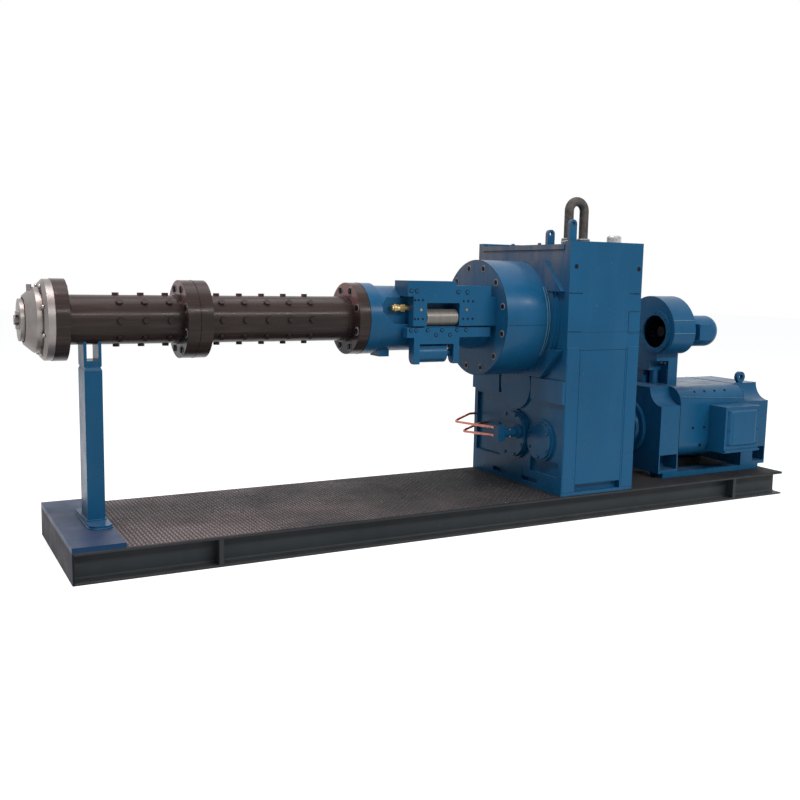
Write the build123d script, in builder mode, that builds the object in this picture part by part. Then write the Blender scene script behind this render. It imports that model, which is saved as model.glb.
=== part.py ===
"""Cold feed rubber extruder with a pin barrel, on one welded base frame.

X runs along the machine from the die end to the motor end, Y runs across it
and Z is up. The origin is on the floor, under the middle of the base frame.
"""
from build123d import *
import math
import os

# Base frame, welded from wide flange beams
base_length = 4700
base_width = 980
beam_height = 150
beam_flange_width = 150
beam_flange = 10
beam_web = 7
end_plate_thickness = 10
deck_thickness = 5
stiffener_thickness = 12
front_stiffener_setback = 560
rear_stiffener_inset = 670
cross_beam_pitch = 1175
last_cross_beam_inset = 100
foot_plate_length = 248
foot_plate_thickness = 25

# Barrel line, from the die end
axis_height = 1200
barrel_setback = 4
barrel_diameter = 248
flange_diameter = 404
flange_thickness = 66
front_barrel_length = 697
rear_barrel_length = 956
feed_length = 806
thrust_length = 332

# Pins that reach through the barrel wall towards the screw
pin_pitch = 125
pins_in_ring = 8
pin_head_width = 30
pin_head_height = 14
pin_seat_diameter = 38
pin_seat_depth = 2
front_pin_rings = 3
front_pin_setback = 314
rear_pin_rings = 5
rear_pin_setback = 139

# Head that closes the die end
head_ring_length = 50
head_ring_chamfer = 16
head_ring_diameter = 398
head_drum_diameter = 320
head_drum_length = 75
head_groove_depth = 7
head_groove_width = 8
head_taper_length = 40
head_taper_depth = 46
head_face_groove = 8
head_face_recess = 6
head_plate_diameter = 206
head_plate_length = 20
head_boss_diameter = 48
head_boss_length = 20
head_plug_diameter = 24
head_plug_height = 12
head_plug_setback = 32

# Support post under the barrel
post_setback = 188
post_width = 86
post_depth = 170
post_wall = 8
post_cap_height = 20
post_cap_taper = 20
post_foot_width = 112
post_foot_length = 420
post_foot_thickness = 16
post_foot_chamfer = 24
saddle_bar_height = 29
saddle_plate_thickness = 15
saddle_depth = 150
saddle_throat = 76
saddle_rise = 20
seat_clearance = 0.3

# Feed section, with the roller box on its operator side
feed_flange_thickness = 75
feed_barrel_diameter = 374
box_setback = 210
box_front = 233
box_back = 75
upper_bar_bottom = 132
upper_bar_height = 88
upper_bar_length = 316
upper_ledge_height = 63
upper_ledge_length = 238
cover_thickness = 28
cover_overlap = 38
cover_drop = 34
window_setback = 87
window_length = 216
window_top = 96
lower_bar_top = 44
lower_bar_height = 55
lower_bar_length = 556
housing_back = 115
pocket_back = 128
pocket_floor = 37
feed_pad_setback = 127
feed_pad_length = 60
feed_pad_width = 120
feed_pad_drop = 30

# Feed roller, on journals in the two cheeks of its housing
roller_diameter = 96
roller_axis_rise = 13
roller_axis_front = 183
roller_end_gap = 6
journal_diameter = 36
journal_length = 45
journal_clearance = 0.05
journal_end_gap = 5

# Bracket with a drum, under the roller box
bracket_setback = 46
bracket_length = 299
bracket_bar_height = 38
bracket_leg_width = 38
bracket_drop = 152
bracket_depth = 62
bracket_corner = 40
bracket_drum_diameter = 108
bracket_drum_inset = 54
bracket_drum_gap = 40
bracket_shaft_diameter = 40

# Brass water union beside the roller box
union_pocket_length = 165
union_pocket_depth = 47
union_pocket_rise = 130
union_pocket_fall = 25
union_diameter = 34
union_nut_width = 42
union_length = 105
union_rise = 65
union_front = 165

# Thrust bearing housing on the gearbox
thrust_diameter = 700
thrust_flange_width = 894
thrust_flange_thickness = 30
thrust_flange_flat = 700
thrust_flange_corner = 175
thrust_side_gap = 344
thrust_rim_diameter = 824
thrust_rim_thickness = 12
thrust_rim_step = 36

# Gearbox
gearbox_length = 550
gearbox_inset = 5
gearbox_height = 1510
gearbox_split_rise = 980
gearbox_lid_thickness = 30
gearbox_lid_drop = 48
gearbox_lid_overhang = 8
gearbox_side_plate = 55
joint_groove = 3
joint_groove_length = 98
upper_joint_drop = 302
lower_joint_drop = 104
face_pad_thickness = 20
face_pad_height = 135
face_pad_bottom = 555
face_pad_inner = 172
panel_recess = 20
panel_width = 280
panel_height = 390
panel_bottom = 140
panel_inset = 36
lower_panel_height = 90
lower_panel_bottom = 105
foot_slot_length = 160
foot_slot_height = 30
foot_slot_rise = 28
foot_slot_offset = 158
foot_slot_depth = 30
cover_plate_length = 350
cover_plate_bottom = 65
cover_plate_height = 810
cover_plate_thickness = 12
cover_plate_seam = 2
drain_slot_height = 46
drain_slot_rise = 18
drain_slot_depth = 40
drive_axis_height = 465
drive_cap_diameter = 290
drive_cap_length = 40
cap_flange_width = 14
cap_flange_thickness = 16
middle_cap_diameter = 320
middle_cap_length = 15
middle_cap_height = 785
side_cap_diameter = 230
side_cap_length = 25
side_cap_offset = 275

# Lubrication lines from the oil pump beside the drive axis
pump_offset = 82
pump_rise = 26
pump_diameter = 62
pump_length = 115
pump_collar_width = 78
pump_collar_length = 30
manifold_length = 55
manifold_height = 100
manifold_depth = 50
pipe_diameter = 16
pipe_spacing = 50
pipe_bend_radius = 42
pipe_fall = 30
pipe_climb = 46
pipe_stub = 55
upper_pipe_reach = 459
lower_pipe_reach = 356

# Fittings on top of the gearbox
lug_thickness = 25
lug_width = 50
lug_hole = 26
lid_lug_offset = 250
lid_lug_height = 88
side_lug_height = 122
breather_diameter = 88
breather_height = 66
breather_offset = 315
breather_chamfer = 10
bend_tube = 57
bend_span = 116
bend_height = 215
bend_offset = 150
bend_setback = 297
ferrule_diameter = 84
ferrule_height = 46

# Drive motor, a square direct current frame with rounded upper corners
motor_setback = 3715
motor_length = 990
motor_width = 650
motor_height = 560
motor_corner = 110
drive_shield_length = 167
rear_shield_length = 235
shield_scallop = 115
motor_foot_gap = 90
foot_pocket_wall = 10
foot_pocket_rise = 22
foot_pocket_height = 100
foot_pocket_depth = 120
rear_foot_length = 115
sole_height = 32
sole_width = 120
sole_front_inset = 40
sole_rear_inset = 60
terminal_setback = 430
terminal_length = 318
terminal_rise = 130
terminal_height = 308
terminal_depth = 160
terminal_door_margin = 22
terminal_door_thickness = 14
terminal_door_bevel = 12
terminal_sill_height = 26
eye_diameter = 76
eye_hole = 34
eye_thickness = 28
eye_setback = 856
eye_offset = 180
coupling_diameter = 230
coupling_gap = 4
coupling_inset = 60
shaft_diameter = 90

# Cooling blower above the drive end of the motor
scroll_setback = 3870
scroll_axis_height = 1105
scroll_offset = -7
scroll_radius = 237
tongue_radius = 150
scroll_width = 190
scroll_wall = 6
inlet_offset = -62
inlet_diameter = 220
inlet_ring_width = 34
inlet_ring_thickness = 8
wheel_diameter = 236
wheel_width = 120
wheel_plate = 6
wheel_gap = 18
wheel_hub_diameter = 70
wheel_blades = 16
wheel_blade_depth = 42
wheel_blade_thickness = 5
wheel_blade_turn = 30
wheel_shaft_diameter = 28
wheel_shaft_clearance = 2
fan_motor_diameter = 212
fan_motor_length = 320
fan_motor_round = 70
fan_box_length = 102
fan_box_height = 108
fan_box_depth = 74
fan_box_setback = 79
outlet_height = 906
outlet_flange_thickness = 34
outlet_flange_side = 24
outlet_flange_overhang = 22
outlet_flange_step = 6
outlet_sheet = 6
duct_wall = 6
duct_front_inset = 15
duct_shoulder = 107
duct_recess = 45
duct_pipe_diameter = 60
duct_pipe_setback = 70
duct_pipe_side = 4

# Stations along X, each from the pieces before it
die_end = -base_length / 2
barrel_face = die_end + barrel_setback
middle_joint = barrel_face + front_barrel_length
feed_face = middle_joint + rear_barrel_length
thrust_face = feed_face + feed_length
gearbox_front = thrust_face + thrust_length
gearbox_back = gearbox_front + gearbox_length
motor_front = die_end + motor_setback
motor_back = motor_front + motor_length
scroll_x = die_end + scroll_setback

# Heights
deck_top = beam_height + deck_thickness
foot_plate_top = deck_top + foot_plate_thickness
gearbox_top = deck_top + gearbox_height
motor_bottom = deck_top + sole_height
motor_top = motor_bottom + motor_height
gearbox_width = base_width - 2 * gearbox_inset

os.makedirs("parts", exist_ok=True)


def across(station):
    """Plane across the machine, facing the motor end, with Y and Z as its axes."""
    return Plane.YZ.offset(station)


def beam_section():
    """Wide flange beam, drawn in the open sketch about the current location."""
    recess = (beam_flange_width - beam_web) / 2
    recess_centre = (beam_web + recess) / 2
    Rectangle(beam_flange_width, beam_height)
    with Locations((-recess_centre, 0), (recess_centre, 0)):
        Rectangle(recess, beam_height - 2 * beam_flange, mode=Mode.SUBTRACT)


def disc(station, diameter, thickness, y=0, z=axis_height):
    """Round plate across the machine, added to the open part."""
    with BuildSketch(across(station)) as outline:
        with Locations((y, z)):
            Circle(diameter / 2)
    extrude(outline.sketch, amount=thickness)


# Side rails with stiffeners in their outer recess
rail_offset = (base_width - beam_flange_width) / 2
rail_recess = (beam_flange_width - beam_web) / 2
for rail_name, side in (("front_rail", -1), ("rear_rail", 1)):
    with BuildPart() as rail:
        with BuildSketch(across(die_end + end_plate_thickness)):
            with Locations((side * rail_offset, beam_height / 2)):
                beam_section()
        extrude(amount=base_length - end_plate_thickness)
        for setback in (front_stiffener_setback, base_length - rear_stiffener_inset):
            with BuildSketch(across(die_end + setback)):
                with Locations((side * (rail_offset + (beam_web + rail_recess) / 2), beam_height / 2)):
                    Rectangle(rail_recess, beam_height - 2 * beam_flange)
            extrude(amount=stiffener_thickness)
    rail.part.label = rail_name
    export_step(rail.part, f"parts/{rail_name}.step")

# Plate that closes the die end of the frame
with BuildPart() as end_plate:
    with BuildSketch(across(die_end)):
        with Locations((0, beam_height / 2)):
            Rectangle(base_width, beam_height)
    extrude(amount=end_plate_thickness)
end_plate.part.label = "end_plate"
export_step(end_plate.part, "parts/end_plate.step")

# Cross beams between the rails
cross_beam_length = base_width - 2 * beam_flange_width
cross_beam_stations = (-cross_beam_pitch, 0, cross_beam_pitch, base_length / 2 - last_cross_beam_inset)
for number, station in enumerate(cross_beam_stations, start=1):
    with BuildPart() as cross_beam:
        with BuildSketch(Plane.XZ.offset(-cross_beam_length / 2)):
            with Locations((station, beam_height / 2)):
                beam_section()
        extrude(amount=cross_beam_length)
    cross_beam.part.label = f"cross_beam_{number}"
    export_step(cross_beam.part, f"parts/cross_beam_{number}.step")

# Deck over the whole frame
with BuildPart() as deck:
    with BuildSketch(Plane.XY.offset(beam_height)):
        Rectangle(base_length, base_width)
    extrude(amount=deck_thickness)
deck.part.label = "deck"
export_step(deck.part, "parts/deck.step")

# Thick plate under the post
with BuildPart() as foot_plate:
    with BuildSketch(Plane.XY.offset(deck_top)):
        with Locations((die_end + foot_plate_length / 2, 0)):
            Rectangle(foot_plate_length, base_width)
    extrude(amount=foot_plate_thickness)
foot_plate.part.label = "foot_plate"
export_step(foot_plate.part, "parts/foot_plate.step")

# Foot of the post, with clipped corners
post_x = die_end + post_setback
with BuildPart() as post_foot:
    with BuildSketch(Plane.XY.offset(foot_plate_top)):
        with Locations((post_x, 0)):
            Rectangle(post_foot_width, post_foot_length)
    extrude(amount=post_foot_thickness)
    chamfer(post_foot.edges().filter_by(Axis.Z), length=post_foot_chamfer)
post_foot.part.label = "post_foot"
export_step(post_foot.part, "parts/post_foot.step")

# Square tube post with a tapered cap
post_bottom = foot_plate_top + post_foot_thickness
saddle_bar_top = axis_height - barrel_diameter / 2 - saddle_throat
saddle_bottom = saddle_bar_top - saddle_bar_height
post_tube_top = saddle_bottom - post_cap_height
with BuildPart() as post:
    with BuildSketch(Plane.XY.offset(post_bottom)):
        with Locations((post_x, 0)):
            Rectangle(post_width, post_depth)
            Rectangle(post_width - 2 * post_wall, post_depth - 2 * post_wall, mode=Mode.SUBTRACT)
    extrude(amount=post_tube_top - post_bottom)
    with BuildSketch(Plane.XY.offset(post_tube_top)):
        with Locations((post_x, 0)):
            Rectangle(post_width, post_depth)
    extrude(amount=post_cap_height, taper=post_cap_taper)
post.part.label = "support_post"
export_step(post.part, "parts/support_post.step")

# Saddle whose two plates are cut to the round of the barrel
with BuildPart() as saddle:
    with BuildSketch(Plane.XZ):
        with Locations((post_x, saddle_bottom + saddle_bar_height / 2)):
            Rectangle(post_width, saddle_bar_height)
        plate_height = saddle_throat + saddle_rise
        plate_offset = (post_width - saddle_plate_thickness) / 2
        with Locations(
            (post_x - plate_offset, saddle_bar_top + plate_height / 2),
            (post_x + plate_offset, saddle_bar_top + plate_height / 2),
        ):
            Rectangle(saddle_plate_thickness, plate_height)
    extrude(amount=saddle_depth / 2, both=True)
    with BuildSketch(across(post_x - post_width)):
        with Locations((0, axis_height)):
            Circle(barrel_diameter / 2 + seat_clearance)
    extrude(amount=2 * post_width, mode=Mode.SUBTRACT)
saddle.part.label = "saddle"
export_step(saddle.part, "parts/saddle.step")

# Turned head: grooved drum with a face plate, a centre boss and a plug on top
head_back = barrel_face - head_ring_length
head_front = head_back - head_drum_length
with BuildPart() as head:
    disc(head_front, head_drum_diameter, head_drum_length)
    nose_edge = head.faces().sort_by(Axis.X)[0].edges()
    chamfer(nose_edge, length=head_taper_length, length2=head_taper_depth, reference=head.faces().sort_by(Axis.X)[0])
    with BuildSketch(across(head_front)):
        with Locations((0, axis_height)):
            Circle(head_plate_diameter / 2 + head_face_groove)
    extrude(amount=head_face_recess, mode=Mode.SUBTRACT)
    with BuildSketch(across(head_back - head_groove_width)):
        with Locations((0, axis_height)):
            Circle(head_drum_diameter / 2)
            Circle(head_drum_diameter / 2 - head_groove_depth, mode=Mode.SUBTRACT)
    extrude(amount=head_groove_width, mode=Mode.SUBTRACT)
    disc(head_front - head_plate_length, head_plate_diameter, head_plate_length + head_face_recess)
    disc(head_front - head_plate_length - head_boss_length, head_boss_diameter, head_boss_length)
    with BuildSketch(Plane.XY.offset(axis_height)):
        with Locations((head_front + head_plug_setback, 0)):
            Circle(head_plug_diameter / 2)
    extrude(amount=head_drum_diameter / 2 + head_plug_height)
head.part.label = "head"
export_step(head.part, "parts/head.step")

# Clamp ring that holds the head on the barrel
with BuildPart() as head_ring:
    disc(head_back, head_ring_diameter, head_ring_length)
    chamfer(head_ring.faces().sort_by(Axis.X)[0].edges(), length=head_ring_chamfer)
head_ring.part.label = "head_ring"
export_step(head_ring.part, "parts/head_ring.step")


# Pin barrel sections, flanged at both ends, with spot faced pin seats
pin_seat_radius = barrel_diameter / 2 - pin_seat_depth
for section, start, length, rings, first_ring in (
    ("front", barrel_face, front_barrel_length, front_pin_rings, barrel_face + front_pin_setback),
    ("rear", middle_joint, rear_barrel_length, rear_pin_rings, middle_joint + rear_pin_setback),
):
    ring_stations = [first_ring + pin_pitch * index for index in range(rings)]
    pin_angles = [360 / pins_in_ring * index for index in range(pins_in_ring)]
    pin_planes = [
        Plane(
            origin=(
                station,
                pin_seat_radius * math.cos(math.radians(angle)),
                axis_height + pin_seat_radius * math.sin(math.radians(angle)),
            ),
            x_dir=(1, 0, 0),
            z_dir=(0, math.cos(math.radians(angle)), math.sin(math.radians(angle))),
        )
        for station in ring_stations
        for angle in pin_angles
    ]
    with BuildPart() as barrel:
        disc(start, barrel_diameter, length)
        disc(start, flange_diameter, flange_thickness)
        disc(start + length - flange_thickness, flange_diameter, flange_thickness)
        with BuildSketch(*pin_planes):
            Circle(pin_seat_diameter / 2)
        extrude(amount=2 * pin_seat_depth, mode=Mode.SUBTRACT)
    barrel.part.label = f"barrel_{section}"
    export_step(barrel.part, f"parts/barrel_{section}.step")

    with BuildPart() as pins:
        with BuildSketch(*pin_planes):
            RegularPolygon(pin_head_width / 2, 6, major_radius=False)
        extrude(amount=pin_head_height)
    pins.part.label = f"pins_{section}"
    export_step(pins.part, f"parts/pins_{section}.step")

# Feed barrel, notched for the roller housing and pocketed for the water union
box_start = feed_face + box_setback
cover_start = box_start + cover_overlap
housing_length = thrust_face - cover_start
housing_height = upper_bar_bottom + lower_bar_top
housing_middle = axis_height + (upper_bar_bottom - lower_bar_top) / 2
housing_front = box_front - cover_thickness
with BuildPart() as feed_barrel:
    disc(feed_face, flange_diameter, feed_flange_thickness)
    disc(feed_face, feed_barrel_diameter, feed_length)
    with BuildSketch(Plane.XY.offset(axis_height - feed_barrel_diameter / 2 - feed_pad_drop)):
        with Locations((feed_face + feed_pad_setback + feed_pad_length / 2, 0)):
            Rectangle(feed_pad_length, feed_pad_width)
    extrude(amount=feed_barrel_diameter / 2)
    with BuildSketch(Plane.XZ.offset(housing_back)):
        with Locations((cover_start + housing_length / 2, housing_middle)):
            Rectangle(housing_length, housing_height)
    extrude(amount=feed_barrel_diameter, mode=Mode.SUBTRACT)
    pocket_start = cover_start - union_pocket_length
    pocket_low = axis_height - union_pocket_fall
    pocket_high = axis_height + union_pocket_rise
    with BuildSketch(Plane.XZ.offset(feed_barrel_diameter / 2 - union_pocket_depth)):
        with BuildLine():
            Polyline(
                (cover_start, pocket_low),
                (cover_start, pocket_high),
                (pocket_start + union_pocket_depth, pocket_high),
                (pocket_start, pocket_high - union_pocket_depth),
                (pocket_start, pocket_low + 1.5 * union_pocket_depth),
                (pocket_start + 1.5 * union_pocket_depth, pocket_low),
                close=True,
            )
        make_face()
    extrude(amount=feed_barrel_diameter, mode=Mode.SUBTRACT)
feed_barrel.part.label = "feed_barrel"
export_step(feed_barrel.part, "parts/feed_barrel.step")

# Roller housing: a block with a pocket between two cheeks
window_start = cover_start + window_setback
roller_z = axis_height + roller_axis_rise
roller_start = window_start + roller_end_gap
roller_length = window_length - 2 * roller_end_gap
with BuildPart() as roller_housing:
    with BuildSketch(Plane.XZ.offset(housing_back)):
        with Locations((cover_start + housing_length / 2, housing_middle)):
            Rectangle(housing_length, housing_height)
    extrude(amount=housing_front - housing_back)
    pocket_height = window_top + pocket_floor
    with BuildSketch(Plane.XZ.offset(pocket_back)):
        with Locations((window_start + window_length / 2, axis_height + (window_top - pocket_floor) / 2)):
            Rectangle(window_length, pocket_height)
    extrude(amount=housing_front - pocket_back, mode=Mode.SUBTRACT)
    with BuildSketch(across(roller_start - roller_end_gap - journal_length - journal_end_gap)):
        with Locations((-roller_axis_front, roller_z)):
            Circle(journal_diameter / 2 + journal_clearance)
    bore_length = roller_length + 2 * (roller_end_gap + journal_length + journal_end_gap)
    extrude(amount=bore_length, mode=Mode.SUBTRACT)
roller_housing.part.label = "roller_housing"
export_step(roller_housing.part, "parts/roller_housing.step")

# Feed roller with its journals
with BuildPart() as feed_roller:
    disc(roller_start, roller_diameter, roller_length, -roller_axis_front, roller_z)
    journal_reach = journal_length + roller_end_gap
    disc(
        roller_start - journal_reach,
        journal_diameter,
        roller_length + 2 * journal_reach,
        -roller_axis_front,
        roller_z,
    )
feed_roller.part.label = "feed_roller"
export_step(feed_roller.part, "parts/feed_roller.step")

# Cover plate with the strip feed window, open at its lower edge
with BuildPart() as feed_cover:
    cover_height = upper_bar_bottom + cover_drop
    with BuildSketch(Plane.XZ.offset(housing_front)):
        with Locations((cover_start + housing_length / 2, axis_height + (upper_bar_bottom - cover_drop) / 2)):
            Rectangle(housing_length, cover_height)
        with Locations((window_start + window_length / 2, axis_height + (window_top - cover_drop) / 2)):
            Rectangle(window_length, window_top + cover_drop, mode=Mode.SUBTRACT)
    extrude(amount=cover_thickness)
feed_cover.part.label = "feed_cover"
export_step(feed_cover.part, "parts/feed_cover.step")


def cut_to_feed_barrel():
    """Cuts the round of the feed barrel out of the open part."""
    with BuildSketch(across(feed_face)) as round_of_barrel:
        with Locations((0, axis_height)):
            Circle(feed_barrel_diameter / 2 + seat_clearance)
    extrude(round_of_barrel.sketch, amount=feed_length, mode=Mode.SUBTRACT)


# Stepped bar over the roller box
with BuildPart() as upper_bar:
    bar_bottom = axis_height + upper_bar_bottom
    with BuildSketch(Plane.XZ.offset(box_back)):
        with Locations((box_start, bar_bottom)):
            Rectangle(upper_bar_length, upper_bar_height, align=(Align.MIN, Align.MIN))
            Rectangle(
                upper_bar_length + upper_ledge_length,
                upper_ledge_height,
                align=(Align.MIN, Align.MIN),
            )
    extrude(amount=box_front - box_back)
    cut_to_feed_barrel()
upper_bar.part.label = "upper_bar"
export_step(upper_bar.part, "parts/upper_bar.step")

# Bar under the roller box
with BuildPart() as lower_bar:
    with BuildSketch(Plane.XZ.offset(box_back)):
        with Locations((box_start, axis_height - lower_bar_top)):
            Rectangle(lower_bar_length, lower_bar_height, align=(Align.MIN, Align.MAX))
    extrude(amount=box_front - box_back)
    cut_to_feed_barrel()
lower_bar.part.label = "lower_bar"
export_step(lower_bar.part, "parts/lower_bar.step")

# Bracket hung from the lower bar, with a drum between its legs
bracket_start = box_start + bracket_setback
bracket_top = axis_height - lower_bar_top - lower_bar_height
with BuildPart() as bracket:
    with BuildSketch(Plane.XZ.offset(box_front - bracket_depth)):
        with Locations((bracket_start, bracket_top)):
            Rectangle(bracket_length, bracket_drop, align=(Align.MIN, Align.MAX))
        with Locations((bracket_start + bracket_leg_width, bracket_top - bracket_bar_height)):
            Rectangle(
                bracket_length - 2 * bracket_leg_width,
                bracket_drop,
                align=(Align.MIN, Align.MAX),
                mode=Mode.SUBTRACT,
            )
    extrude(amount=bracket_depth)
    leg_feet = bracket.faces().sort_by(Axis.Z)[0:2]
    fillet(leg_feet.edges().filter_by(Axis.X).group_by(Axis.Y)[-1], radius=bracket_corner)
    cut_to_feed_barrel()
bracket.part.label = "bracket"
export_step(bracket.part, "parts/bracket.step")

with BuildPart() as bracket_drum:
    drum_start = bracket_start + bracket_leg_width
    leg_gap = bracket_length - 2 * bracket_leg_width
    drum_y = -(box_front - bracket_drum_inset)
    drum_z = bracket_top - bracket_bar_height - bracket_drum_diameter / 2 - seat_clearance
    disc(drum_start, bracket_drum_diameter, leg_gap - bracket_drum_gap, drum_y, drum_z)
    disc(drum_start, bracket_shaft_diameter, leg_gap, drum_y, drum_z)
bracket_drum.part.label = "bracket_drum"
export_step(bracket_drum.part, "parts/bracket_drum.step")

# Water union, screwed into the end of the roller housing
with BuildPart() as water_union:
    union_z = axis_height + union_rise
    disc(cover_start - union_length, union_diameter, union_length, -union_front, union_z)
    with BuildSketch(across(cover_start - union_length / 2)):
        with Locations((-union_front, union_z)):
            RegularPolygon(union_nut_width / 2, 6, major_radius=False)
    extrude(amount=union_length / 4)
water_union.part.label = "water_union"
export_step(water_union.part, "parts/water_union.step")

# Thrust bearing housing; its mounting flange is open at both sides
with BuildPart() as thrust_housing:
    disc(thrust_face, thrust_diameter, thrust_length)
    with BuildSketch(across(gearbox_front - thrust_flange_thickness)):
        with Locations((0, axis_height)):
            flange_sheet = Rectangle(thrust_flange_width, thrust_flange_flat)
            chamfer(flange_sheet.vertices(), length=thrust_flange_corner)
            Rectangle(thrust_flange_width, thrust_side_gap, mode=Mode.SUBTRACT)
    extrude(amount=thrust_flange_thickness)
    for rim_diameter, rim_reach in (
        (thrust_rim_diameter, thrust_rim_thickness),
        (thrust_rim_diameter - thrust_rim_step, 2 * thrust_rim_thickness),
    ):
        with BuildSketch(across(gearbox_front - rim_reach)):
            with Locations((0, axis_height)):
                Circle(rim_diameter / 2)
                Rectangle(rim_diameter, thrust_flange_flat, mode=Mode.INTERSECT)
        extrude(amount=rim_reach)
thrust_housing.part.label = "thrust_housing"
export_step(thrust_housing.part, "parts/thrust_housing.step")

# Lower gearbox case, with pads and sunk panels on its die end face
gearbox_middle = gearbox_front + gearbox_length / 2
split_z = deck_top + gearbox_split_rise
cover_bottom_z = deck_top + cover_plate_bottom
groove_offset = (gearbox_length - joint_groove_length) / 2
with BuildPart() as lower_case:
    with BuildSketch(Plane.XY.offset(deck_top)):
        with Locations((gearbox_middle, 0)):
            Rectangle(gearbox_length, gearbox_width)
    extrude(amount=gearbox_split_rise)
    chamfer(lower_case.faces().sort_by(Axis.Z)[-1].edges(), length=joint_groove / 2)
    pad_width = gearbox_width / 2 - face_pad_inner
    pad_offset = (gearbox_width / 2 + face_pad_inner) / 2
    with BuildSketch(across(gearbox_front - face_pad_thickness)):
        with Locations(
            (-pad_offset, deck_top + face_pad_bottom + face_pad_height / 2),
            (pad_offset, deck_top + face_pad_bottom + face_pad_height / 2),
        ):
            Rectangle(pad_width, face_pad_height)
    extrude(amount=face_pad_thickness)
    panel_offset = gearbox_width / 2 - panel_inset - panel_width / 2
    with BuildSketch(across(gearbox_front)):
        with Locations((panel_offset, deck_top + panel_bottom + panel_height / 2)):
            Rectangle(panel_width, panel_height)
        with Locations((-panel_offset, deck_top + lower_panel_bottom + lower_panel_height / 2)):
            Rectangle(panel_width, lower_panel_height)
    extrude(amount=panel_recess, mode=Mode.SUBTRACT)
    with BuildSketch(across(gearbox_front)):
        with Locations(
            (-foot_slot_offset, deck_top + foot_slot_rise + foot_slot_height / 2),
            (foot_slot_offset, deck_top + foot_slot_rise + foot_slot_height / 2),
        ):
            Rectangle(foot_slot_length, foot_slot_height)
    extrude(amount=foot_slot_depth, mode=Mode.SUBTRACT)
    with BuildSketch(Plane.XZ.offset(gearbox_width / 2)):
        with Locations((gearbox_middle, deck_top + drain_slot_rise + drain_slot_height / 2)):
            Rectangle(cover_plate_length, drain_slot_height)
    extrude(amount=-drain_slot_depth, mode=Mode.SUBTRACT)
    with BuildSketch(Plane.XZ.offset(gearbox_width / 2)):
        with Locations((gearbox_middle, cover_bottom_z + cover_plate_height / 2)):
            Rectangle(cover_plate_length, cover_plate_height)
    extrude(amount=-cover_plate_thickness, mode=Mode.SUBTRACT)
    with BuildSketch(Plane.XZ.offset(gearbox_width / 2)):
        with Locations(
            (gearbox_middle - groove_offset, split_z - lower_joint_drop),
            (gearbox_middle + groove_offset, split_z - lower_joint_drop),
        ):
            Rectangle(joint_groove_length, joint_groove)
    extrude(amount=-joint_groove, mode=Mode.SUBTRACT)
lower_case.part.label = "gearbox_lower_case"
export_step(lower_case.part, "parts/gearbox_lower_case.step")

with BuildPart() as side_cover:
    with BuildSketch(Plane.XZ.offset(gearbox_width / 2)):
        with Locations((gearbox_middle, cover_bottom_z + cover_plate_height / 2)):
            Rectangle(cover_plate_length - 2 * cover_plate_seam, cover_plate_height - 2 * cover_plate_seam)
    extrude(amount=-cover_plate_thickness)
side_cover.part.label = "gearbox_side_cover"
export_step(side_cover.part, "parts/gearbox_side_cover.step")

# Upper gearbox case, with the lid set down between its side plates
lid_z = gearbox_top - gearbox_lid_drop
lid_top = lid_z + gearbox_lid_thickness
with BuildPart() as upper_case:
    with BuildSketch(Plane.XY.offset(split_z)):
        with Locations((gearbox_middle, 0)):
            Rectangle(gearbox_length, gearbox_width)
    extrude(amount=gearbox_top - split_z)
    chamfer(upper_case.faces().sort_by(Axis.Z)[0].edges(), length=joint_groove / 2)
    with BuildSketch(Plane.XY.offset(lid_z)):
        with Locations((gearbox_middle, 0)):
            Rectangle(gearbox_length, gearbox_width - 2 * gearbox_side_plate)
    extrude(amount=gearbox_lid_drop, mode=Mode.SUBTRACT)
    with BuildSketch(Plane.XZ.offset(gearbox_width / 2)):
        with Locations(
            (gearbox_middle - groove_offset, gearbox_top - upper_joint_drop),
            (gearbox_middle + groove_offset, gearbox_top - upper_joint_drop),
        ):
            Rectangle(joint_groove_length, joint_groove)
    extrude(amount=-joint_groove, mode=Mode.SUBTRACT)
upper_case.part.label = "gearbox_upper_case"
export_step(upper_case.part, "parts/gearbox_upper_case.step")

with BuildPart() as gearbox_lid:
    with BuildSketch(Plane.XY.offset(lid_z)):
        with Locations((gearbox_middle - gearbox_lid_overhang / 2, 0)):
            Rectangle(gearbox_length + gearbox_lid_overhang, gearbox_width - 2 * gearbox_side_plate)
    extrude(amount=gearbox_lid_thickness)
gearbox_lid.part.label = "gearbox_lid"
export_step(gearbox_lid.part, "parts/gearbox_lid.step")

# Flanged bearing caps on the die end face; the middle one is cut off flat under the thrust flange
for cap_name, cap_y, cap_z, cap_diameter, cap_length in (
    ("drive_cap", 0, drive_axis_height, drive_cap_diameter, drive_cap_length),
    ("middle_cap", 0, middle_cap_height, middle_cap_diameter, middle_cap_length),
    ("side_cap", -side_cap_offset, drive_axis_height, side_cap_diameter, side_cap_length),
):
    with BuildPart() as cap:
        disc(gearbox_front - cap_length, cap_diameter, cap_length, cap_y, cap_z)
        if cap_length > cap_flange_thickness:
            disc(
                gearbox_front - cap_flange_thickness,
                cap_diameter + 2 * cap_flange_width,
                cap_flange_thickness,
                cap_y,
                cap_z,
            )
        if cap_name != "drive_cap":
            with BuildSketch(across(gearbox_front - cap_length)):
                with Locations((0, drive_axis_height)):
                    Circle(drive_cap_diameter / 2 + cap_flange_width + seat_clearance)
            extrude(amount=cap_length, mode=Mode.SUBTRACT)
        if cap_name == "middle_cap":
            with BuildSketch(Plane.XY.offset(axis_height - thrust_flange_flat / 2)):
                with Locations((gearbox_front, 0)):
                    Rectangle(gearbox_length, gearbox_width)
            extrude(amount=middle_cap_diameter, mode=Mode.SUBTRACT)
    cap.part.label = cap_name
    export_step(cap.part, f"parts/{cap_name}.step")

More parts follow.
